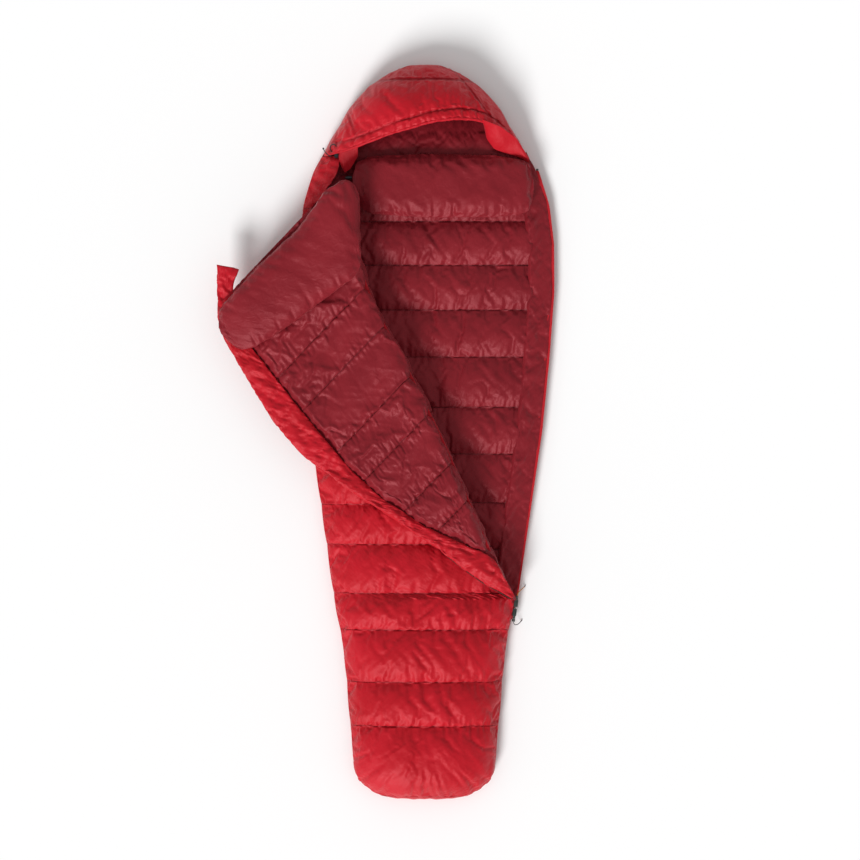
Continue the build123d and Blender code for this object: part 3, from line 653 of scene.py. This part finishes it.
def make_cover():
    y = seam_rows(COVER_SEAMS, CLOTH_STEP)[:, None]
    w = half(y) + 2.0
    rise, _, _ = quilt(y, 0 * y, COVER_SEAMS, 60)
    right = np.where(y < ZIP_END_Y, w, np.minimum(w, cover_right(y)))
    last = np.arcsin(np.clip(right / w, -1, 1))
    angle = -math.pi / 2 + (last + math.pi / 2) * np.linspace(0, 1, 79)[None, :]
    x = w * np.sin(angle)
    z, seam = cover_height(x, y)
    side = 1 - smooth((w - np.abs(x)) / 20)
    x = x + np.sign(x) * side * 3.0 * (rise - 0.3)
    points = xyz(x, y, z)
    foot = smooth((FOOT_Y + 190 - y) / 150) * (1 - smooth((FOOT_Y + 12 - y) / 12))
    angle_round = np.arctan2(y + 850, x + 1e-3)
    points[:, :, 2] += foot * 3.2 * noise(angle_round * 120, np.hypot(x, y + 850), 7, 90, 66)
    held = (seam > 0.5) | (np.abs(angle) > 1.45)
    held[:, 0] = held[:, -1] = True
    held[0] = held[-1] = True
    held = held | ((y > -100) & (y < 560))     # hidden under the folded cover
    spread = smooth((1.5 - np.abs(angle)) / 0.3)
    return Cloth(points, held, cap=9.0, pressure=4.5, spare=0.05), (y, x), spread


def make_foot_end():
    """End panel of the foot box."""
    c = np.linspace(-1, 1, 41)[None, :]
    r = np.linspace(0, 1, 15)[:, None]
    w = half(FOOT_Y) + 2.0
    x = c * w
    arch = np.clip(1 - np.abs(c) ** 2.4, 0, 1) ** 0.6
    top = SIDE_SEAM_Z + (cover_rise(FOOT_Y) - 15 - SIDE_SEAM_Z) * arch
    low = 2.0 + 10 * np.abs(c) ** 6
    z = low + r * (top - low)
    bulge = np.sin(np.pi * r) ** 0.7 * (1 - np.abs(c) ** 4)
    y = FOOT_Y - 9.0 * bulge - 1.8 * noise(x, z, 16, 30, 71) * bulge
    points = xyz(x, y, z)
    return grid_object("foot_panel_look", points, SHELL, flip=True, smoother=True)


# ---- folded cover -----------------------------------------------------------
FOLD_FOOT = np.array((260.0, float(ZIP_END_Y), 112.0))
FOLD_HEAD = np.array((-242.0, 701.0, 136.0))
FLAP_TILT = math.radians(5.4)
ALONG = (FOLD_HEAD - FOLD_FOOT) / np.linalg.norm(FOLD_HEAD - FOLD_FOOT)
level = np.array((-ALONG[1], ALONG[0], 0.0))
LEFT = level / np.linalg.norm(level) * math.cos(FLAP_TILT) - np.array((0, 0, 1.0)) * math.sin(FLAP_TILT)
LEFT = LEFT - ALONG * LEFT.dot(ALONG)
LEFT /= np.linalg.norm(LEFT)
UP = np.cross(ALONG, LEFT)
Q_ALONG, Q_LEFT = 0.9207, 0.3904     # direction across the quilt lines, in the flap's plane
FOLD_SPREAD = 0.058          # how fast the bend widens towards the head, above the fold
TUCK_SPREAD = 0.07           # and where it ends inside the bag
# Edges as (distance along the fold, distance from it).
LINING_EDGE = ((0, 1), (32, 2), (94, 7), (145, 16), (172, 43), (228, 92), (297, 158), (419, 243), (528, 291),
               (742, 356), (954, 413), (1060, 425), (1149, 392), (1184, 350), (1300, 340))
TUBE_EDGE = ((0, 2), (30, 22), (73, 56), (132, 92), (229, 147), (467, 308), (624, 398), (742, 436),
             (928, 462), (1011, 473), (1071, 467), (1151, 438), (1215, 410), (1300, 400))
PILLOW = ((0, 0), (154, -2), (341, -3), (495, -3), (623, -10), (783, -20), (917, -34), (1098, -28), (1286, 4))
FLAP_SEAMS = tuple(float(y - ZIP_END_Y) for y in (-463, -323, -184, -77, 66, 178, 330, 445, 560, 712))
lining_edge = table_curve(LINING_EDGE, 12)
tube_edge = table_curve(TUBE_EDGE, 12)
pillow_edge = table_curve(PILLOW, 30)


def flap_point(s, left, n):
    """Point from the distances along the fold, away from it and above the flap's plane."""
    s, left, n = np.broadcast_arrays(s, left, n)
    return FOLD_FOOT + s[..., None] * ALONG + left[..., None] * LEFT + n[..., None] * UP


def flap_drop(s):
    """How far the folded cover comes down to the bottom of the zip."""
    return 20.0 * (1 - smooth(np.asarray(s) / 110.0))


def edge_by_quilt(edge):
    """Distance from the fold of an edge, as a function of the place across the quilt lines."""
    s = np.arange(0, 1290, 4.0)
    left = edge(s)
    q = Q_ALONG * s + Q_LEFT * left
    return lambda at: np.interp(at, q, left)


def bend_place(q):
    """Distance along the fold at which the quilt line q goes round it."""
    return np.clip((q - 7.0) / 0.9433, 2, 1280)


def across_quilt(q, left):
    """Distance along the fold of the quilt line q at a distance from the fold."""
    plain = (q - Q_LEFT * left) / Q_ALONG
    share = smooth((q - 40.0) / 90.0)
    return np.maximum(plain * share + bend_place(q) * (1 - share), 1.0)


def flap_rows(step):
    """Quilt lines of the folded cover, from the bottom of the zip up."""
    return np.concatenate([[4.0, 10.0], seam_rows(FLAP_SEAMS, step)[1:]])[:, None]


def lining_face(q, edge, base):
    """Flat part of the folded lining: (distance from the fold, height, seam mark, share of full height)."""
    lip = np.linspace(0, 1, 4)[None, :-1]
    flat = np.linspace(0, 1, 49)[None, :]
    left = np.concatenate([edge + 3 - lip * 7, (edge - 4) + flat * (base - (edge - 4))], axis=1)
    rise, wrinkles, seam = quilt(q, left, FLAP_SEAMS, 80)
    toward_edge = smooth((edge + 3 - left) / 26.0)
    n = toward_edge * (20.0 + 13.0 * rise + wrinkles) + (1 - toward_edge) * 6.0
    return left, n - flap_drop(across_quilt(q, left)), seam, toward_edge


def lining_bend(q, base, n_start):
    """The folded lining round the fold and into the bag: (points, run of cloth, seam mark, fade)."""
    s_bend = bend_place(q)
    inside_plan = flap_point(s_bend, TUCK_SPREAD * s_bend + 8, 0 * s_bend)
    x_in, y_in = inside_plan[..., 0], inside_plan[..., 1]
    floor = np.minimum(60.0 - 12.0 * (np.abs(x_in) / half(y_in)) ** 2, cover_height(x_in, y_in)[0] - 14.0)
    inside_end = xyz(x_in, y_in, floor) - FOLD_FOOT
    end_left, end_n = inside_end @ LEFT, inside_end @ UP
    phi = np.linspace(0, math.pi, 25)[None, 1:]     # angle round the fold
    fold_rise, _, _ = quilt(q, 0 * q, FLAP_SEAMS, 80)
    out = -pillow_edge(s_bend) + 7.0 * (1 - fold_rise)
    mid_left = base + (end_left - base) * (phi / math.pi)
    mid_n = (n_start + end_n) / 2 + (n_start - end_n) / 2 * np.cos(phi)
    reach = base - out
    bend_left = mid_left - (reach + 0.5 * (end_left - base)) * np.sin(phi) ** 0.85
    run = base - phi * 45.0
    rise, wrinkles, seam = quilt(q + 0 * phi, run, FLAP_SEAMS, 80, gathers=1.25)
    nearness = np.exp(-((mid_n + 5.0 + flap_drop(s_bend)) / 9.0) ** 2)     # to the line where the cover turns
    puffed = (wrinkles + 2.0 * (rise - 0.5)) * np.sin(phi) ** 0.7 * (1 - nearness)
    bend_left = bend_left + 13.0 * nearness * smooth((s_bend - 60) / 300)
    bend_left = bend_left - puffed * np.sin(phi)
    bend_n = mid_n + puffed * np.cos(phi)
    bend_s = across_quilt(q, np.where(phi < math.pi / 2, bend_left, out))
    return flap_point(bend_s, bend_left, bend_n), run, seam, np.sin(phi) ** 0.5 * (1 - nearness)


def make_flap_lining():
    """Lining of the folded cover, round the fold and into the bag."""
    q = flap_rows(CLOTH_STEP)
    edge = edge_by_quilt(lining_edge)(q)
    base = np.minimum(FOLD_SPREAD * bend_place(q) + 18, np.maximum(edge - 3, 2.5))
    left, n, seam, fade = lining_face(q, edge, base)
    bend, bend_run, bend_seam, bend_fade = lining_bend(q, base, n[:, -1:])
    points = np.concatenate([flap_point(across_quilt(q, left), left, n), bend], axis=1)
    held = np.concatenate([seam, bend_seam], axis=1) > 0.5
    held[:, :3] = held[:, -1:] = True
    held[:3] = held[-1] = True
    run = np.concatenate([left, bend_run], axis=1)
    fade = np.concatenate([fade, bend_fade], axis=1) * smooth((q - 12) / 60)
    return Cloth(points, held, flip=True, cap=8.0, pressure=4.0, spare=0.05), (q, run), fade


def make_flap_shell():
    """Outer fabric of the folded cover, facing down, and the crease inside the fold."""
    q = flap_rows(10.0)
    s_bend = bend_place(q)
    edge = edge_by_quilt(tube_edge)(q) - 3.0
    start = np.minimum(FOLD_SPREAD * s_bend + 2, np.maximum(edge - 2, 1.0))
    left = edge + (start - edge) * np.linspace(0, 1, 44)[None, :]
    rise, wrinkles, _ = quilt(q, left, FLAP_SEAMS, 90)
    n = 9.0 * (1 - rise) + np.clip(0.5 * wrinkles, -0.2, 3)
    clear = smooth((left - start) / 50.0)
    n = n * clear - 2.5 * (1 - clear)
    s = across_quilt(q, left)
    sheet = flap_point(s, left, n - flap_drop(s))
    out = -pillow_edge(s_bend)
    drop = flap_drop(s_bend)
    crease_line = [(np.maximum(out + 8.0, 3.0), low) for low in (-3.0, -4.0, -5.0, -6.0, -7.1)]
    crease_line.append((np.maximum(out + 27.0, 5.0), -7.2))
    crease_line = [flap_point(s_bend, np.minimum(near, start), low - drop) for near, low in crease_line]
    spot = flap_point(s_bend, TUCK_SPREAD * s_bend + 1, 0 * s_bend)
    z, _ = cover_height(spot[..., 0], spot[..., 1])
    rest = xyz(spot[..., 0], spot[..., 1], z - 0.4)
    lower = crease_line[-1] + (rest - crease_line[-1]) * np.linspace(0, 1, 6)[None, 1:, None]
    points = np.concatenate([sheet] + crease_line + [lower], axis=1)
    fade = smooth((left - start) / 60.0) * smooth((edge - left) / 12.0)
    added = points.shape[1] - left.shape[1]
    fade = np.concatenate([fade, np.zeros((len(q), added))], axis=1)
    run = np.concatenate([left, np.repeat(left[:, -1:], added, axis=1)], axis=1)
    return points, (q, run), fade


def make_draft_tube():
    """Padded tube of shell fabric along the free edge."""
    across, upward = ring_section(26, 2.3)
    share = 0.5 + 0.5 * across
    r = np.linspace(0, 1, 176)[:, None]
    cut = 1177.0 + 38.0 * share          # the slanting top end
    s = 14 + r * (cut - 14)
    inner = lining_edge(s) - 3.0
    outer = np.maximum(tube_edge(s), inner + 5)
    width = outer - inner
    height = np.minimum(30.0, 7 + 0.5 * width) * (1 - 0.62 * smooth((s - 1060) / 60))
    left = inner + width * share
    pull = noise(left * 1.2 - s * 0.6, s, 15, 26, 101) + 0.7 * noise(left + s, s, 12, 38, 102)
    top = np.clip(upward, 0, 1)
    n = 0.6 + height / 2 * (1 + upward * (0.82 + 0.36 * share))
    n = n + top * (3.6 * pull + 3.0 * noise(s, left, 60, 50, 103))
    n = n - top * 6.0 * crease(s * 0.8 + left, s - left, 30, 44, 104)
    points = flap_point(s, left, np.maximum(n, 0.3) - flap_drop(s))
    held = np.broadcast_to(upward < UNDER_SIDE, points.shape[:2]).copy()
    held[:2] = held[-2:] = True
    tube = Cloth(points, held, wrap=True, cap=5.0, pressure=3.0, spare=0.04, flip=True)
    return tube, (left + 0 * s, s + 0 * left), smooth(0.2 + 1.2 * upward) + 0 * s


# The top roll's edges along the fold, half height and sag, each by the distance from the fold.
FRONT_COLLAR_START = ((-44, 1236), (-34, 1205), (-20, 1172), (-5, 1132), (14, 1085), (33, 1045), (60, 1026),
                      (116, 1012), (255, 978), (340, 962), (400, 956), (440, 966), (460, 990), (473, 1030))
FRONT_COLLAR_END = ((-44, 1262), (-34, 1284), (-15, 1292), (0, 1290), (41, 1282), (154, 1216), (294, 1166),
                    (383, 1126), (440, 1100), (460, 1078), (473, 1045))
FRONT_COLLAR_HIGH = ((-44, 2), (-34, 12), (0, 17), (60, 18), (300, 17), (400, 15), (440, 11), (460, 7),
                     (473, 1.5))
FRONT_COLLAR_SAG = ((-44, -16), (0, -3), (60, 0), (380, 0), (430, -6), (473, -12))
FRONT_COLLAR_MIDDLE = 46.0


def make_front_collar():
    """Padded roll across the top of the folded cover."""
    stations = [np.linspace(-44, -36, 3), np.linspace(-28, 440, 66), np.linspace(446, 473, 7)]
    left = np.concatenate(stations)[:, None]
    start = table_curve(FRONT_COLLAR_START, 6)(left)
    end = table_curve(FRONT_COLLAR_END, 6)(left)
    height = table_curve(FRONT_COLLAR_HIGH, 6)(left)
    across, upward = ring_section(46, 2.6)
    s = (start + end) / 2 + (end - start) / 2 * across
    n = FRONT_COLLAR_MIDDLE + table_curve(FRONT_COLLAR_SAG, 8)(left) + height * upward
    foot = np.exp(-((s - start) / 30.0) ** 2)
    pull = noise(left, s, 10, 80, 111) + 0.7 * noise(left - 0.4 * s, s, 21, 90, 112)
    top = np.clip(upward, 0, 1)
    waves = 2.0 * noise(left, s, 80, 70, 113) + 1.1 * noise(left - s, s, 30, 60, 114)
    n = n + top * (2.2 * foot * pull + waves)
    points = flap_point(s, left, n)
    held = np.broadcast_to(upward < UNDER_SIDE, points.shape[:2]).copy()
    held[0] = held[-1] = True
    return Cloth(points, held, wrap=True, flip=True, cap=5.0, pressure=3.0, spare=0.03), (s, left + 0 * s)


def make_cover_lining():
    """Inside of the part of the cover that stays down."""
    y = np.arange(-1040, 791, 15.0)[:, None]
    w = half(y) - 26
    right = np.where(y < ZIP_END_Y, w, np.minimum(w, cover_right(y) + 1))
    c = np.linspace(0, 1, 31)[None, :]
    x = -w + (right + w) * c
    rise, _, _ = quilt(y, x, COVER_SEAMS, 120)
    floor = np.maximum(56.0, cover_rise(y) - 41)
    z = 36 + (floor - 36) * (1 - np.abs(x / w) ** 2.6) + 3 * (1 - rise)
    return grid_object("cover_lining_look", xyz(x, y, z), LINING, flip=True)


# ---- hood --------------------------------------------------------------------
RIM_Y = ((-1, 795), (-0.8, 799), (-0.66, 815), (-0.38, 845), (0.07, 879), (0.38, 889), (0.62, 888),
         (0.82, 872), (0.94, 840), (1, 772))
HOOD_RISE = ((700, 124), (800, 156), (880, 164), (950, 150), (1000, 122), (1035, 88), (CROWN_Y, 60))
hood_rise = table_curve(HOOD_RISE, 14)
rim_y = table_curve(RIM_Y, 0.05, step=0.01)
HOOD_SEAM = 1003.0
HEM_WIDE = 27.0


CANOPY_END_Y = CROWN_Y - 1.0


def hood_plan(c, v):
    """Plan point of the canopy: c across, -1 to 1, and v from the rim, 0, to the crown, 1."""
    y = rim_y(c) + v * (CANOPY_END_Y - rim_y(c))
    full = 9.0 * np.sin(np.pi * np.clip((y - 880) / 171.0, 0, 1))
    return c * (half(y) + 1.5 + full), y


def hood_height(c, x, y, run):
    """Canopy at a plan point, run mm behind its rim: (z, seam mark)."""
    share = np.clip(1 - np.abs(c) ** 2.5, 0, 1) ** 0.55
    crown = hood_rise(y)
    groove = np.exp(-((run - HEM_WIDE) / 3.0) ** 2) + np.exp(-((y - HOOD_SEAM) / 4.0) ** 2)
    left_seam, right_seam = x + 190 + (y - 830) * 0.35, x - 215 + (y - 860) * 0.75
    side_seam = np.exp(-(left_seam / 4.0) ** 2) + np.exp(-(right_seam / 4.0) ** 2)
    side_seam = side_seam * smooth((run - HEM_WIDE) / 6)
    hem = 1 - smooth((run - HEM_WIDE) / 8)
    pull = noise(x, y, 10, 60, 131) + 0.6 * noise(x - 0.4 * y, y, 19, 50, 132)
    swell = 9.0 * np.sin(np.pi * np.clip((y - 860) / (HOOD_SEAM - 860), 0, 1)) ** 0.7
    z = SIDE_SEAM_Z + (crown - SIDE_SEAM_Z) * share
    near = np.exp(-np.abs(y - HOOD_SEAM) / 22.0) + np.exp(-np.abs(run - HEM_WIDE) / 14.0)
    z = z + smooth(share / 0.5) * (0.35 * swell + 2.4 * pull * near + 2.6 * noise(x, y, 80, 70, 133)
                                   + 1.5 * noise(x + y, y, 28, 44, 134) - 5.0 * groove - 3.0 * side_seam)
    z = z - hem * smooth(share / 0.4) * (3.0 * (1 - smooth(run / 9.0)) + 3.4 * np.abs(pull))
    return z, np.clip(groove + 0.7 * side_seam, 0, 1)


def make_hood():
    c = np.sin(np.linspace(-math.pi / 2, math.pi / 2, 91))[None, :]
    c = 0.5 * c + 0.5 * np.linspace(-1, 1, 91)[None, :]
    v = np.concatenate([[0, 0.012, 0.03, 0.055, 0.085, 0.115], np.linspace(0.14, 1, 44)])[:, None]
    x, y = hood_plan(c, v)
    _, rim = hood_plan(c, 0 * v)
    run = y - rim
    z, mark = hood_height(c, x, y, run)
    points = xyz(x, y, z)
    held = (mark > 0.4) | (np.abs(c) > 0.97)
    held[0] = held[-1] = True
    inner_z = SIDE_SEAM_Z + (z - SIDE_SEAM_Z) * 0.84 - 5
    turned = smooth(v / 0.05)
    inner_z = inner_z * turned + (z - 7) * (1 - turned)
    inner = xyz(x * 0.97, y - 8 * v - 2, inner_z)
    fade = smooth((1 - np.abs(c)) / 0.12)
    return Cloth(points, held, cap=6.0, pressure=3.0, spare=0.035), mark, inner, (y, x), fade


def make_hem():
    """Rolled edge of the hood with the drawcord inside, turned in at both ends."""
    c = np.linspace(-0.985, 0.99, 120)[:, None]
    x, y = hood_plan(c, 0 * c)
    z, _ = hood_height(c, x, y, 0 * c)
    across, upward = ring_section(14, 2.0)
    thick = 5.5 + 1.6 * noise(x, y, 14, 14, 141) + 1.2 * noise(x, y, 7, 9, 142)
    thick = thick * smooth((1 - np.abs(c)) / 0.04 + 0.3)
    points = xyz(x, y - 1.0 + thick * 0.9 * across, z - 4.5 + thick * upward)
    points[:, :, 2] = np.maximum(points[:, :, 2], 29.0)
    return grid_object("hood_hem_look", points, SHELL, wrap=True, cap=True, smoother=True)


def spread_out(values, share):
    """Values given at even steps, read at shares from 0 to 1."""
    return np.interp(share, np.linspace(0, 1, len(values)), values)


def facing(name, top, bottom, top_z, bottom_z, seed):
    """Piece of shell fabric turned in under the hood's edge, between two plan lines."""
    share = np.linspace(0, 1, 24)
    upper, lower = [np.stack([spread_out([spot[k] for spot in line], share) for k in (0, 1)], -1)
                    for line in (top, bottom)]
    r = np.linspace(0, 1, 12)[:, None, None]
    plan = upper[None] * (1 - r) + lower[None] * r
    r = r[..., 0]
    z = spread_out(top_z, share)[None, :] * (1 - r) + spread_out(bottom_z, share)[None, :] * r
    z = z + np.sin(np.pi * r) * (5.0 + 3.0 * noise(plan[..., 0], plan[..., 1], 16, 16, seed))
    points = np.concatenate([plan, z[..., None]], axis=-1)
    return grid_object(name, points, SHELL, flip=True, smoother=True)


def make_head_end():
    """Closes the bag past the crown of the hood, from the underside up to the canopy."""
    c = np.linspace(-1, 1, 25)[None, :]
    r = np.linspace(0, 1, 12)[:, None]
    x = c * (half(CROWN_Y) + 1.5)
    top, _ = hood_height(c, x, 0 * x + CANOPY_END_Y, 0 * x + 200)
    low = 1.0 + 12 * np.abs(c) ** 5
    z = low + r * (top - 1 - low)
    bulge = np.sin(np.pi * r) ** 0.7 * (1 - np.abs(c) ** 3)
    y = 1049.5 + 3.0 * bulge + 0.8 * noise(x, z, 9, 14, 145) * bulge
    return grid_object("hood_end_look", xyz(x, y, z), SHELL, smoother=True)


# ---- zip -----------------------------------------------------------------------
COIL_Z = 26.6
COIL_OUT = 10.7             # from the bag's outline to the zip's middle
ZIP_FOOT_Y, ZIP_HEAD_Y = -540, 750


def zip_x(y):
    """Middle of the zip: straight below the middle of the bag, then along the outline."""
    straight = table_curve(((ZIP_FOOT_Y, half(ZIP_FOOT_Y) + COIL_OUT), (0, half(0) + COIL_OUT)))
    return np.where(y < 0, straight(y), half(y) + COIL_OUT)


def coil_tube(name, path, radius, pitch, material):
    """Wound filament of a zip along a path."""
    run = np.concatenate([[0], np.cumsum(np.linalg.norm(np.diff(path, axis=0), axis=1))])
    turns = int(run[-1] / pitch)
    at = np.linspace(0, run[-1], turns * 6 + 1)
    middle = np.stack([np.interp(at, run, path[:, k]) for k in range(3)], axis=-1)
    heading = np.gradient(middle, axis=0)
    heading /= np.linalg.norm(heading, axis=1, keepdims=True)
    side = np.cross(heading, (0, 0, 1.0))
    side /= np.linalg.norm(side, axis=1, keepdims=True)
    up = np.cross(side, heading)
    turn = at / pitch * 2 * math.pi
    offset = np.cos(turn)[:, None] * side + 0.75 * np.sin(turn)[:, None] * up
    wire = middle + offset * (radius - 0.6)
    ring = np.linspace(0, 2 * math.pi, 5)[:-1]
    points = wire[:, None, :] + 0.65 * (np.cos(ring)[None, :, None] * offset[:, None, :]
                                        + np.sin(ring)[None, :, None] * heading[:, None, :])
    return grid_object(name, points, material, wrap=True, cap=True)


def make_back_zip():
    y = np.concatenate([np.arange(ZIP_FOOT_Y, ZIP_HEAD_Y, 8.0), [ZIP_HEAD_Y]])
    coil = coil_tube("zip_coil_back_look", xyz(zip_x(y) - 0.4, y, COIL_Z), 2.0, 2.6, COIL)
    attach(coil, "back", "zip_coil", "zip_coil_back")
    rows = y[:, None]
    across = np.linspace(0, 1, 5)[None, :]
    inner = half(rows) - 0.5
    outer = zip_x(rows) + 3.0
    left = inner + (outer - inner) * across
    z = 29.6 - 0.6 * across + 0.25 * noise(left, rows, 6, 30, 151)
    z = np.where(rows < -470, z - 3.0 * smooth((-470 - rows) / 20), z)
    open_part = y > -484
    tape = grid_object("zip_tape_back_look", xyz(left, rows, z)[open_part], TAPE)
    attach(tape, "back", "zip_tape", "zip_tape_back")
    under = grid_object("zip_tape_back_under", xyz(half(rows) + 1 + 6.0 * across, rows, 26.9), TAPE)
    attach(under, "back", "zip_tape", "zip_tape_back")


def make_flap_zip():
    s = np.arange(10, 1150, 8.0)
    tucked = smooth((s - 190) / 60)      # under the draft tube, away from the bottom of the zip
    edge = tube_edge(s) + 3.4 - 9.0 * tucked
    n = 4.2 - 7.0 * tucked - flap_drop(s)
    coil = coil_tube("zip_coil_flap_look", flap_point(s, edge, n), 2.0, 2.6, COIL)
    attach(coil, "flap", "zip_coil", "zip_coil_flap")
    across = np.linspace(0, 1, 4)[None, :]
    tape_left = edge[:, None] - 1.5 - 8 * (1 - across)
    tape = grid_object("zip_tape_flap_look", flap_point(s[:, None], tape_left, n[:, None] - 1.8), TAPE)
    attach(tape, "flap", "zip_tape", "zip_tape_flap")


# ---- build: the cloths are made first, and blown up together --------------------
back_cloth, back_run, back_fade = make_back_lining()
panel_cloth, panel_run = make_side_panel()
neck_cloth, neck_run = make_back_collar()
cover_cloth, cover_run, cover_fade = make_cover()
flap_cloth, flap_run, flap_fade = make_flap_lining()
tube_cloth, tube_run, tube_fade = make_draft_tube()
roll_cloth, roll_run = make_front_collar()
hood_cloth, hood_marks, hood_inside, hood_run, hood_fade = make_hood()
blow_up()

NO_SEAMS = (-3000, 3000)
NECK_SEAMS = (560, 627, 782, 860)
HOOD_SEAMS = (600, HOOD_SEAM, 1100)
FOLD_MIDDLE = (FOLD_FOOT + FOLD_HEAD) / 2


def above_fold(distance):
    """Point in metres on the line through the middle of the fold, square to the flap."""
    return tuple((FOLD_MIDDLE + distance * UP) * MM)


LINING_WINDOW = (above_fold(-11.0), above_fold(1.0))
SHELL_WINDOW = (above_fold(-7.0), above_fold(-3.0))
HOOD_WINDOW = ((0, 0.9, 0.034), (0, 0.9, 0.075))


def sewn(name, cloth, run, seams, seed, material, marked=True, **finer):
    """Finished object of a blown-up cloth, marked where its seams get darker thread colour and painted shade.
    """
    points, marks = wrinkled(cloth.points, *run, seams, seed, wrap=cloth.wrap, flip=cloth.flip, **finer)
    return grid_object(name, points, material, wrap=cloth.wrap, flip=cloth.flip, cap=cloth.wrap,
                       seam=marks if marked else None)


# back
back_lining = sewn("back_lining_look", back_cloth, back_run, BACK_SEAMS, 301, LINING, gathers=0.75, body=0.8,
                   where=back_fade)
padded(back_lining, "back", 0.6, "lining_fabric", "back_liner", *numbered("back_fill", 12))
padded(make_back_shell(), "back", 0.6, "shell_fabric", "back_shell")
panel = sewn("zip_side_panel_look", panel_cloth, panel_run, NO_SEAMS, 311, LINING, marked=False, body=1.3)
padded(panel, "back", 0.2, "lining_fabric", "zip_side_panel")
back_collar = sewn("back_collar_look", neck_cloth, neck_run, NECK_SEAMS, 321, LINING, marked=False,
                   gathers=0.9)
padded(back_collar, "back", 0.6, "lining_fabric", "back_collar")
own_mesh(back_collar)

# cover, the part that stays down
cover = sewn("cover_look", cover_cloth, cover_run, COVER_SEAMS, 331, SHELL, where=cover_fade)
padded(cover, "back", 0.7, "shell_fabric", "cover_shell", *numbered("cover_fill", 7))
padded(make_cover_lining(), "back", 0.5, "lining_fabric", "cover_liner")
padded(make_foot_end(), "back", 0.5, "shell_fabric", "foot_panel")

# cover, the folded part
flap_lining = sewn("flap_lining_look", flap_cloth, flap_run, FLAP_SEAMS, 341, LINING, gathers=1.1,
                   where=flap_fade)
padded_over(flap_lining, ("back", "flap"), LINING_WINDOW, 0.6, "lining_fabric", "flap_liner",
            *numbered("flap_fill", 7))
points, shell_run, shell_fade = make_flap_shell()
points, marks = wrinkled(points, *shell_run, FLAP_SEAMS, 381, flip=True, where=shell_fade)
flap_shell = grid_object("flap_shell_look", points, SHELL, seam=marks)
padded_over(flap_shell, ("back", "flap"), SHELL_WINDOW, 0.6, "shell_fabric", "flap_shell")
draft_tube = sewn("draft_tube_look", tube_cloth, tube_run, NO_SEAMS, 351, SHELL, marked=False, body=1.7,
                  where=tube_fade)
padded(draft_tube, "flap", 0.5, "shell_fabric", "draft_tube")
front_collar = sewn("front_collar_look", roll_cloth, roll_run, NO_SEAMS, 361, LINING, marked=False)
padded(front_collar, "flap", 0.5, "lining_fabric", "front_collar")
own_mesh(front_collar)

# hood
points, _ = wrinkled(hood_cloth.points, *hood_run, HOOD_SEAMS, 371, gathers=0.8, body=0.8, where=hood_fade)
hood = grid_object("hood_look", points, SHELL, seam=twice(hood_marks))
hood_lining = grid_object("hood_lining_look", hood_inside, LINING, flip=True, smoother=True)
hem = make_hem()
right_facing = facing("hood_facing_right", ((163, 885), (215, 868), (262, 838), (300, 785)),
                      ((170, 868), (178, 836), (200, 808), (240, 795), (275, 786), (300, 770)),
                      (140, 118, 84, 52), (96, 76, 64, 60, 54, 44), 161)
left_facing = facing("hood_facing_left", ((-248, 803), (-222, 806), (-190, 815)),
                     ((-242, 765), (-229, 742), (-212, 752), (-190, 786)),
                     (82, 96, 108), (56, 58, 64, 84), 162)
for item, slot, nodes in ((hood, "shell_fabric", ("hood_shell", "hood_fill_01", "hood_fill_02")),
                          (hood_lining, "lining_fabric", ("hood_liner",)),
                          (hem, "shell_fabric", ("hood_hem", "hood_drawcord")),
                          (make_head_end(), "shell_fabric", ("hood_shell",)),
                          (right_facing, "shell_fabric", ("hood_hem",)),
                          (left_facing, "shell_fabric", ("hood_hem",))):
    padded_over(item, ("back", "hood_canopy"), HOOD_WINDOW, 0.5, slot, *nodes)

# zip and small hardware
make_back_zip()
make_flap_zip()
HARDWARE = {
    METAL: ("zip_end_stops", "zip_slider_upper", "zip_slider_lower", "pull_tab_upper", "pull_tab_lower"),
    PLASTIC: ("cord_lock_barrel", "cord_lock_button", "collar_cord_lock"),
    STEEL: ("cord_lock_spring",),
}
for material, names in HARDWARE.items():
    for name in names:
        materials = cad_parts[name].data.materials
        materials.clear()
        materials.append(material)

spring_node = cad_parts["cord_lock_spring"]
spring = bpy.data.objects.new("cord_lock_spring_look", spring_node.data.copy())
spring.matrix_world = spring_node.matrix_world.copy()
scene.collection.objects.link(spring)
attach(spring, "cord_lock", "spring_steel", "cord_lock_spring")
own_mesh(spring)

# ---- floor and light ------------------------------------------------------------
FLOOR_REACH = 45.0          # metres, past the horizon of a low view
KEY_POWER = 2.9
KEY_TURN = (53, 0, -24)     # degrees: from the foot end, a little from the left
WORLD_LIGHT = 0.5

corners = [(x * FLOOR_REACH, y * FLOOR_REACH, -0.001) for x, y in ((-1, -1), (1, -1), (1, 1), (-1, 1))]
floor_mesh = bpy.data.meshes.new("floor")
floor_mesh.from_pydata(corners, [], [(0, 1, 2, 3)])
floor = bpy.data.objects.new("floor", floor_mesh)
scene.collection.objects.link(floor)
floor_material, _, _ = shaded("floor", {"Base Color": (0.95, 0.95, 0.95, 1), "Roughness": 0.9,
                                        "Specular IOR Level": 0.0})
floor_mesh.materials.append(floor_material)

key = bpy.data.objects.new("key", bpy.data.lights.new("key", "SUN"))
key.data.energy = KEY_POWER
key.data.angle = math.radians(20)
key.rotation_euler = [math.radians(turn) for turn in KEY_TURN]
scene.collection.objects.link(key)
world = bpy.data.worlds.new("studio")
world.use_nodes = True
set_inputs(world.node_tree.nodes["Background"], {"Color": (1, 1, 1, 1), "Strength": WORLD_LIGHT})
scene.world = world
scene.view_settings.view_transform = "Standard"
